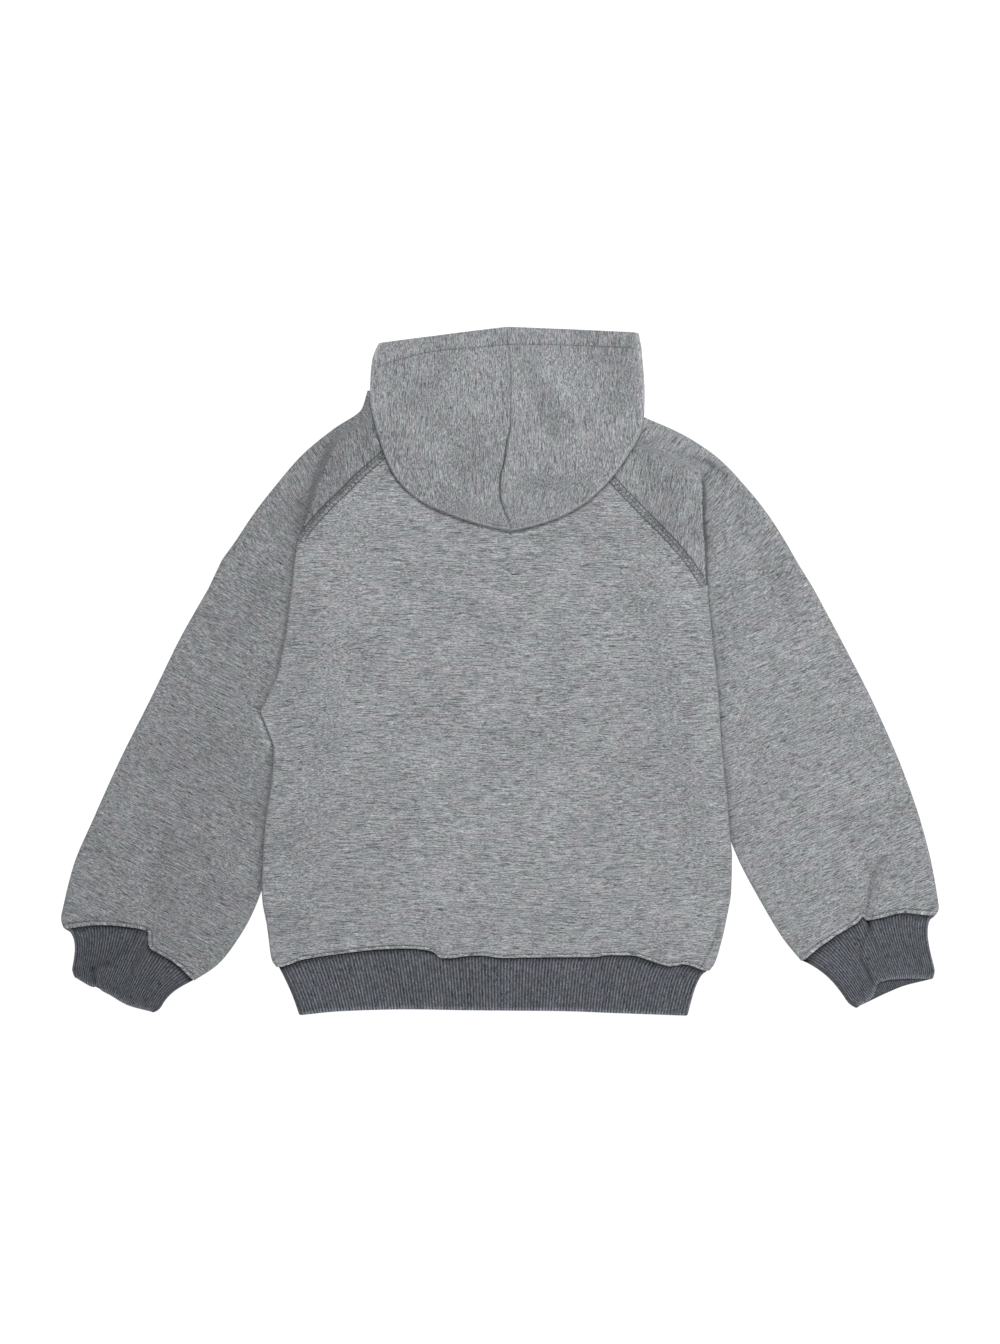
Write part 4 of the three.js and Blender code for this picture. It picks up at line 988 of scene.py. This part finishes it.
def shell(name, sheets, thickness, rim, inner_shade=0.0):
    """A closed thin shell on sheets of points at its middle, with a round rim along every open edge."""
    places, first, numbers = merged(sheets)
    grain = np.concatenate([sheet["grain"].reshape(-1, 3) for sheet in sheets])[first]
    relief = gathered(sheets, "relief", 0.0, first)
    upright = gathered(sheets, "upright", False, first)
    shade = gathered(sheets, "shade", 0.0, first)
    faces = [face for sheet, ids in zip(sheets, numbers) for face in sheet_faces(ids, sheet["flip"])]
    normals = np.zeros_like(places)
    add_normals(normals, places, faces)
    normals[upright, 0] = 0
    normals /= np.maximum(np.linalg.norm(normals, axis=1), 1e-9)[:, None]
    count = len(places)
    outer = places + normals * (thickness / 2 + relief)[:, None]
    inner = places - normals * (thickness / 2)
    edges = {(face[i - 1], face[i]) for face in faces for i in range(len(face))}
    border = sorted(edge for edge in edges if (edge[1], edge[0]) not in edges)
    rim_places, rim_ids = rim_points(border, outer, inner, normals, rim, count)
    made = faces + [[v + count for v in reversed(face)] for face in faces]
    for a, b in border:
        near, far = [a, *rim_ids[a], a + count], [b, *rim_ids[b], b + count]
        made += [[far[k], near[k], near[k + 1], far[k + 1]] for k in range(len(near) - 1)]
    around = np.array([v for v in rim_ids for _ in rim_ids[v]], int)
    all_places = np.concatenate([outer, inner, rim_places]) * MM
    all_grain = np.concatenate([grain, grain, grain[around]]) * MM
    inside = np.concatenate([np.zeros(count), np.ones(count), np.full(len(around), 0.3)])
    # Each point's painted shade, with inner_shade painted over the whole inner side
    all_shade = np.concatenate([shade, np.full(count, inner_shade), shade[around]])
    return make_mesh(name, all_places, made, {"grain": all_grain, "inside": inside, "shade": all_shade})


def rim_points(border, outer, inner, normals, rim, count):
    """Points that round the rim between the two sides, and their numbers for each border point."""
    out = {v: np.zeros(3) for edge in border for v in edge}
    for a, b in border:
        way = (outer[b] + inner[b]) - (outer[a] + inner[a])
        sideways = np.cross(way, normals[a] + normals[b])
        for v in (a, b):
            out[v] += normed(sideways)
    turns = np.radians([45, 0, -45])
    places, ids = [], {}
    for v, way in out.items():
        way = normed(way)
        middle, half = (outer[v] + inner[v]) / 2, (outer[v] - inner[v]) / 2
        ids[v] = [2 * count + len(places) + k for k in range(len(turns))]
        places += [middle + half * math.sin(turn) + way * rim * math.cos(turn) for turn in turns]
    return np.array(places), ids


def placed(name, data):
    """A new object in the scene."""
    made = bpy.data.objects.new(name, data)
    bpy.context.scene.collection.objects.link(made)
    return made


def make_mesh(name, places, faces, attributes):
    mesh = bpy.data.meshes.new(name)
    mesh.from_pydata(places.tolist(), [], faces)
    for key, values in attributes.items():
        kind = "FLOAT_VECTOR" if np.ndim(values) > 1 else "FLOAT"
        layer = mesh.attributes.new(key, kind, "POINT")
        layer.data.foreach_set("vector" if kind == "FLOAT_VECTOR" else "value",
                               np.asarray(values, np.float32).ravel())
    mesh.polygons.foreach_set("use_smooth", np.ones(len(mesh.polygons), bool))
    mesh.update()
    return placed(name + "_cloth", mesh)


# Sewing
class Ground:
    """The cloth's upper surface, to lay stitches on."""

    def __init__(self, pieces):
        vertices, faces = [], []
        for piece in pieces:
            start = len(vertices)
            vertices += [v.co for v in piece.data.vertices]
            faces += [[v + start for v in polygon.vertices] for polygon in piece.data.polygons]
        self.tree = BVHTree.FromPolygons(vertices, faces)

    def at(self, x, y):
        """Height in millimetres of the highest surface at a plan point, or None off the cloth."""
        hit, _, _, _ = self.tree.ray_cast(Vector((x * MM, y * MM, 0.1)), Vector((0, 0, -1)))
        return None if hit is None else hit.z / MM


THREAD_SIDES = 6
STITCH_STEPS = 5


class Thread:
    """The sewing: thin closed tubes laid on the cloth."""

    def __init__(self):
        self.vertices, self.faces = [], []

    def lay(self, ground, plan, lift, radius):
        """A tube on the cloth along plan points, left out where one of them is off the cloth."""
        heights = [ground.at(x, y) for x, y in plan]
        if None not in heights:
            self.tube(with_height(plan, np.array(heights) + lift), radius)

    def tube(self, path, radius):
        start, sides = len(self.vertices), range(THREAD_SIDES)
        swells = np.sin(np.linspace(0.25, math.pi - 0.25, len(path)))
        for place, way, swell in zip(path, np.gradient(path, axis=0), swells):
            way = normed(way)
            sideways = normed(np.cross(way, (0, 0, 1)))
            up = np.cross(sideways, way)
            for k in sides:
                turn = 2 * math.pi * k / THREAD_SIDES
                self.vertices.append((place + radius * (0.55 + 0.45 * swell)
                                      * (math.cos(turn) * sideways + math.sin(turn) * up)) * MM)
        last = start + (len(path) - 1) * THREAD_SIDES
        for ring in range(start, last, THREAD_SIDES):
            for k in sides:
                a, b = ring + k, ring + (k + 1) % THREAD_SIDES
                self.faces.append([a, b, b + THREAD_SIDES, a + THREAD_SIDES])
        self.faces += [[start + k for k in reversed(sides)], [last + k for k in sides]]

    def needle_line(self, ground, line, length, radius, rise, gap=0.18):
        """A row of stitches along a plan line, each bowed up out of the cloth at its middle."""
        count = max(1, round(line_length(line) / length))
        bow = np.sin(np.linspace(0, math.pi, STITCH_STEPS))
        for i in range(count):
            shares = lerp((i + gap / 2) / count, (i + 1 - gap / 2) / count, np.linspace(0, 1, STITCH_STEPS))
            self.lay(ground, along(line, shares), rise * bow - radius * 0.6, radius)

    def zigzag(self, ground, seam):
        """The looper thread that crosses between the two needle lines."""
        count = round(line_length(seam) / 1.8)
        lines = [offset_line(seam, away) for away in (0.3 - COVER_NEEDLE, COVER_NEEDLE - 0.3)]
        for i in range(count):
            a, b = along(lines[i % 2], i / count), along(lines[(i + 1) % 2], (i + 1) / count)
            self.lay(ground, lerp(a, b, np.linspace(0, 1, STITCH_STEPS)[:, None]), 0.02, 0.18)


def offset_line(line, distance):
    """The line moved sideways, to the left of its way for a positive distance."""
    ways = np.gradient(line, axis=0)
    ways = ways / np.hypot(*ways.T)[:, None]
    return line + distance * np.column_stack([-ways[:, 1], ways[:, 0]])


def trimmed(line, start, end):
    return along(line, np.linspace(start, end, 60))


def stitches(ground, hood_ground):
    """Twin-needle seams on the raglans, topstitching above the ribs and the hood's hem."""
    thread = Thread()
    for side, sign in SIGN.items():
        seam = trimmed(RAGLAN[side], 0.0, 0.97)
        for distance in (COVER_NEEDLE, -COVER_NEEDLE):
            thread.needle_line(ground, offset_line(seam, distance), 2.4, 0.48, 0.12)
        thread.zigzag(ground, seam)
        above = offset_line(curve_through(CUFF_SEAM[side], 81), sign * TOP_NEEDLE)
        thread.needle_line(ground, trimmed(above, 0.03, 0.97), 2.6, 0.3, 0.1)
    thread.needle_line(ground, trimmed(HEM_LINE, 0.015, 0.985) + points((0, TOP_NEEDLE)), 2.6, 0.3, 0.1)
    thread.needle_line(hood_ground, trimmed(HOOD_HEM_LINE, 0.02, 0.98), 2.8, 0.22, 0.08)
    return make_mesh("stitches", np.array(thread.vertices), thread.faces, {})


# Materials
def linear(srgb):
    """An sRGB colour of 0 to 255 as linear values with alpha."""
    shares = [c / 255 for c in srgb]
    return tuple(c / 12.92 if c <= 0.04045 else ((c + 0.055) / 1.055) ** 2.4 for c in shares) + (1.0,)


class Nodes:
    """A material's node tree, with a short call for each kind of node used here."""

    def __init__(self, name):
        self.material = bpy.data.materials.new(name)
        self.material.use_nodes = True
        self.tree = self.material.node_tree
        self.shader = self.tree.nodes["Principled BSDF"]

    def feed(self, socket, value):
        """Links a socket to a node's output, or sets the socket's own value."""
        if hasattr(value, "is_output"):
            self.tree.links.new(value, socket)
        else:
            socket.default_value = value

    def node(self, kind, **values):
        """A new node with its named sockets fed."""
        made = self.tree.nodes.new(kind)
        for name, value in values.items():
            self.feed(made.inputs[name], value)
        return made

    def attribute(self, name, output):
        node = self.node("ShaderNodeAttribute")
        node.attribute_name = name
        return node.outputs[output]

    def scaled(self, vector, scale, shift=(0, 0, 0)):
        return self.node("ShaderNodeMapping", Vector=vector, Scale=scale, Location=shift).outputs["Vector"]

    def noise(self, vector, detail=2.0, roughness=0.5, distortion=0.0):
        return self.node("ShaderNodeTexNoise", Vector=vector, Scale=1.0, Detail=detail,
                         Roughness=roughness, Distortion=distortion).outputs["Fac"]

    def ramp(self, value, stops):
        """Colours or greys at places from 0 to 1."""
        node = self.node("ShaderNodeValToRGB", Fac=value)
        elements = node.color_ramp.elements
        while len(elements) < len(stops):
            elements.new(0.5)
        for element, (place, colour) in zip(elements, stops):
            element.position = place
            element.color = colour if np.ndim(colour) else (colour, colour, colour, 1)
        return node.outputs["Color"]

    def times(self, a, b, kind="MULTIPLY", share=1.0):
        """Two colours multiplied, or mixed by a share."""
        node = self.node("ShaderNodeMix")
        node.data_type = "RGBA"
        node.blend_type = kind
        for number, value in ((0, share), (6, a), (7, b)):
            self.feed(node.inputs[number], value)
        return node.outputs[2]

    def math(self, kind, a, b=0.0):
        node = self.node("ShaderNodeMath")
        node.operation = kind
        for socket, value in zip(node.inputs, (a, b)):
            self.feed(socket, value)
        return node.outputs[0]

    def wave(self, kind, place, length):
        """A sine or cosine of a place, once in each length in metres."""
        return self.math(kind, self.math("MULTIPLY", place, 2 * math.pi / length))

    def parts(self, vector):
        return self.node("ShaderNodeSeparateXYZ", Vector=vector).outputs

    def bump(self, height, distance, strength):
        return self.node("ShaderNodeBump", Height=height, Distance=distance,
                         Strength=strength).outputs["Normal"]


def melange(nodes, grain, colour, streak, width, strength):
    """Yarns of light and dark fibre: streaks along the yarn, with flecks and faint tints. streak and
    width are a streak's length and width in metres."""
    def fibres(lengthwise, across, shift, detail=2.0, roughness=0.5, distortion=0.0):
        scale = (lengthwise / streak, across / width, across / width)
        return nodes.noise(nodes.scaled(grain, scale, shift), detail, roughness, distortion)
    fine = fibres(1, 1, (0, 0, 0), distortion=0.1)
    coarse = fibres(0.5, 0.4, (3.1, 7.7, 1.3), distortion=0.1)
    dusty = fibres(5, 1.1, (9.1, 2.7, 5.3), 1.0)
    fleck = fibres(1.5, 0.8, (5.5, 1.9, 8.8), roughness=0.6)
    patch = nodes.noise(nodes.scaled(grain, (28, 46, 28), (1.7, 4.2, 0.4)))
    tint = nodes.noise(nodes.scaled(grain, (70, 130, 90), (2.2, 6.1, 3.9)), roughness=0.55)
    layers = (
        (fine, [(0.26, 1 - strength), (0.46, 1.0), (0.74, 1 + strength * 0.7)]),
        (coarse, [(0.3, 1 - strength * 0.2), (0.7, 1 + strength * 0.2)]),
        (dusty, [(0.3, 1 - strength * 0.6), (0.7, 1 + strength * 0.6)]),
        (patch, [(0.3, 0.93), (0.7, 1.07)]),
        (fleck, [(0.58, 1.0), (0.7, 0.36)]),
        (tint, [(0.3, (0.96, 1.0, 1.02, 1)), (0.44, (0.97, 1.012, 0.975, 1)),
                (0.58, (1.0, 0.992, 1.025, 1)), (0.72, (1.03, 1.0, 0.96, 1))]))
    made = linear(colour)
    for value, stops in layers:
        made = nodes.times(made, nodes.ramp(value, stops))
    return made, nodes.math("ADD", fine, dusty)


def shaded(nodes, colour):
    """The colour with the painted shade and painted highlights of the shade attribute: darker above 0, where
    the cloth turns into a seam or lies under another layer, lighter below 0.
    """
    darker = nodes.math("MULTIPLY", nodes.attribute("shade", "Fac"), 0.8)
    return nodes.times(colour, nodes.math("SUBTRACT", 1.0, darker))


def fleece_material(name, colour):
    """Brushed melange fleece with its knitted face."""
    nodes = Nodes(name)
    grain = nodes.attribute("grain", "Vector")
    made, fibre = melange(nodes, grain, colour, 0.0085, 0.00046, 0.82)
    lining = tuple(c * 1.08 for c in linear(colour)[:3]) + (1.0,)
    inside = nodes.math("MULTIPLY", nodes.attribute("inside", "Fac"), 0.6)
    u, v, _ = nodes.parts(grain)
    knit = nodes.math("MULTIPLY", nodes.wave("SINE", u, 0.0011), nodes.wave("SINE", v, 0.0008))
    height = nodes.math("ADD", nodes.math("MULTIPLY", knit, 0.12), fibre)
    return finished(nodes, shaded(nodes, nodes.times(made, lining, "MIX", inside)),
                    nodes.bump(height, 0.0005, 0.4), 0.93, 0.3, 0.4)


def rib_material(name, colour):
    """Dark melange rib knit: painted highlights on the ribs, painted shade in the furrows, with the stitches
    along them.
    """
    nodes = Nodes(name)
    grain = nodes.attribute("grain", "Vector")
    made, fibre = melange(nodes, grain, colour, 0.0032, 0.0011, 0.6)
    u, v, _ = nodes.parts(grain)
    ridge = nodes.wave("COSINE", v, RIB_PITCH * MM)
    from_furrow = nodes.math("MULTIPLY", nodes.math("SUBTRACT", 1.0, ridge), 0.5)
    # Painted highlight on each rib and painted shade in each furrow
    ribs = nodes.ramp(from_furrow, [(0.0, 0.52), (1.0, 1.42)])
    height = nodes.math("ADD", nodes.math("MULTIPLY", nodes.wave("SINE", u, 0.0012), 0.25), fibre)
    return finished(nodes, shaded(nodes, nodes.times(made, ribs)), nodes.bump(height, 0.0006, 0.6),
                    0.9, 0.15, 0.45)


def thread_material(name, colour):
    nodes = Nodes(name)
    place = nodes.node("ShaderNodeTexCoord").outputs["Object"]
    fibre = nodes.noise(nodes.scaled(place, (900, 900, 900)), roughness=0.6)
    tone = nodes.ramp(fibre, [(0.3, 0.8), (0.7, 1.2)])
    return finished(nodes, nodes.times(linear(colour), tone), nodes.bump(fibre, 0.0002, 0.5),
                    0.7, 0.05, 0.4)


def finished(nodes, colour, normal, roughness, sheen, sheen_roughness):
    """The material, once its shader has its colour, bump and constants."""
    shader = nodes.shader.inputs
    nodes.feed(shader["Base Color"], colour)
    nodes.feed(shader["Normal"], normal)
    shader["Roughness"].default_value = roughness
    shader["Specular IOR Level"].default_value = 0.25
    shader["Sheen Weight"].default_value = sheen
    shader["Sheen Roughness"].default_value = sheen_roughness
    return nodes.material


# Stage
FRAME_WIDTH = 0.750        # what the photographed frame takes in, across and down
FRAME_HEIGHT = 1.008
LENS = 120.0
SENSOR = 36.0


def camera():
    data = bpy.data.cameras.new("camera")
    data.sensor_fit = "AUTO"
    data.sensor_width = SENSOR
    data.lens = LENS
    made = placed("camera", data)
    cloth_height = 0.006
    made.location = (0, -0.0004, cloth_height + FRAME_HEIGHT * LENS / SENSOR)
    bpy.context.scene.camera = made


def floor():
    mesh = bpy.data.meshes.new("floor")
    half = 6.0
    mesh.from_pydata([(-half, -half, 0), (half, -half, 0), (half, half, 0), (-half, half, 0)], [],
                     [(0, 1, 2, 3)])
    nodes = Nodes("floor_paper")
    nodes.shader.inputs["Base Color"].default_value = (0.15, 0.15, 0.15, 1)
    nodes.shader.inputs["Emission Color"].default_value = (1, 1, 1, 1)
    nodes.shader.inputs["Emission Strength"].default_value = 0.95
    nodes.shader.inputs["Roughness"].default_value = 0.9
    nodes.shader.inputs["Specular IOR Level"].default_value = 0.1
    mesh.materials.append(nodes.material)
    placed("floor", mesh)


def light(name, place, target, size, power):
    data = bpy.data.lights.new(name, "AREA")
    data.shape = "DISK"
    data.size = size
    data.energy = power
    made = placed(name, data)
    made.location = place
    made.rotation_euler = (Vector(target) - Vector(place)).to_track_quat("-Z", "Y").to_euler()


def lights():
    light("key", (0.1, 1.25, 2.6), (0, 0, 0), 1.1, 51)
    light("side", (1.2, -0.7, 1.6), (0, 0, 0), 0.9, 11)
    world = bpy.data.worlds.new("studio")
    world.use_nodes = True
    background = world.node_tree.nodes["Background"]
    background.inputs["Color"].default_value = (1, 1, 1, 1)
    background.inputs["Strength"].default_value = 0.28
    bpy.context.scene.world = world
    bpy.context.scene.view_settings.view_transform = "Standard"


# The pleats' edges on the shoulders, above the body's sides, and how much painted shadow darkens the sleeves
# beside them
PLEAT_EDGE = {"right": [(153.5, 153), (153.4, 135), (153.4, 116), (155, 93)],
              "left": [(-119, 179), (-130.5, 159), (-138, 140), (-142.5, 125), (-150, 100)]}
EDGE_LINE = {side: along(points(line + SIDE[side]), np.linspace(0, 1, 301))
             for side, line in PLEAT_EDGE.items()}
EDGE_SHADE = {"right": (0.45, 0.25), "left": (0.16, 0.05)}
SLEEVE_PAINTED_SHADE = {"right": 0.03, "left": 0.24}   # painted shade: how much darker each sleeve is painted than the body

SIDE_LINE = {side: along(points(line), np.linspace(0, 1, 241)) for side, line in SIDE.items()}
INNER_LINE = {side: points([row["inner"] for row in table]) for side, table in LOWER.items()}
HEM_LINE = curve_through(HEM_SEAM, 141)
HOOD_HEM_LINE = curve_through(HOOD_HEM, 91)


def dress(piece, node, material):
    piece.data.materials.append(material)
    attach(piece, "root")
    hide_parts(node)


def main():
    camera()
    lights()
    floor()
    fleece = fleece_material("fleece", FLEECE_COLOUR)
    rib = rib_material("rib", RIB_COLOUR)
    thread = thread_material("thread", THREAD_COLOUR)
    front = front_panel()
    sleeves = {side: sleeve(side) for side in ("right", "left")}
    back = back_panel()
    hoods = {side: hood_half(side) for side in ("right", "left")}
    dress(front, "front_panel", fleece)
    dress(back, "back_panel", fleece)
    for side, piece in sleeves.items():
        dress(piece, "sleeve_" + side, fleece)
    for side, piece in hoods.items():
        dress(piece, "hood_" + side, fleece)
    hem = hem_rib()
    dress(hem, "hem_rib", rib)
    for side in ("right", "left"):
        dress(cuff(side), "cuff_" + side, rib)
    sewn = stitches(Ground([front, back, *sleeves.values()]), Ground(hoods.values()))
    sewn.data.materials.append(thread)
    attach(sewn, "root")


main()
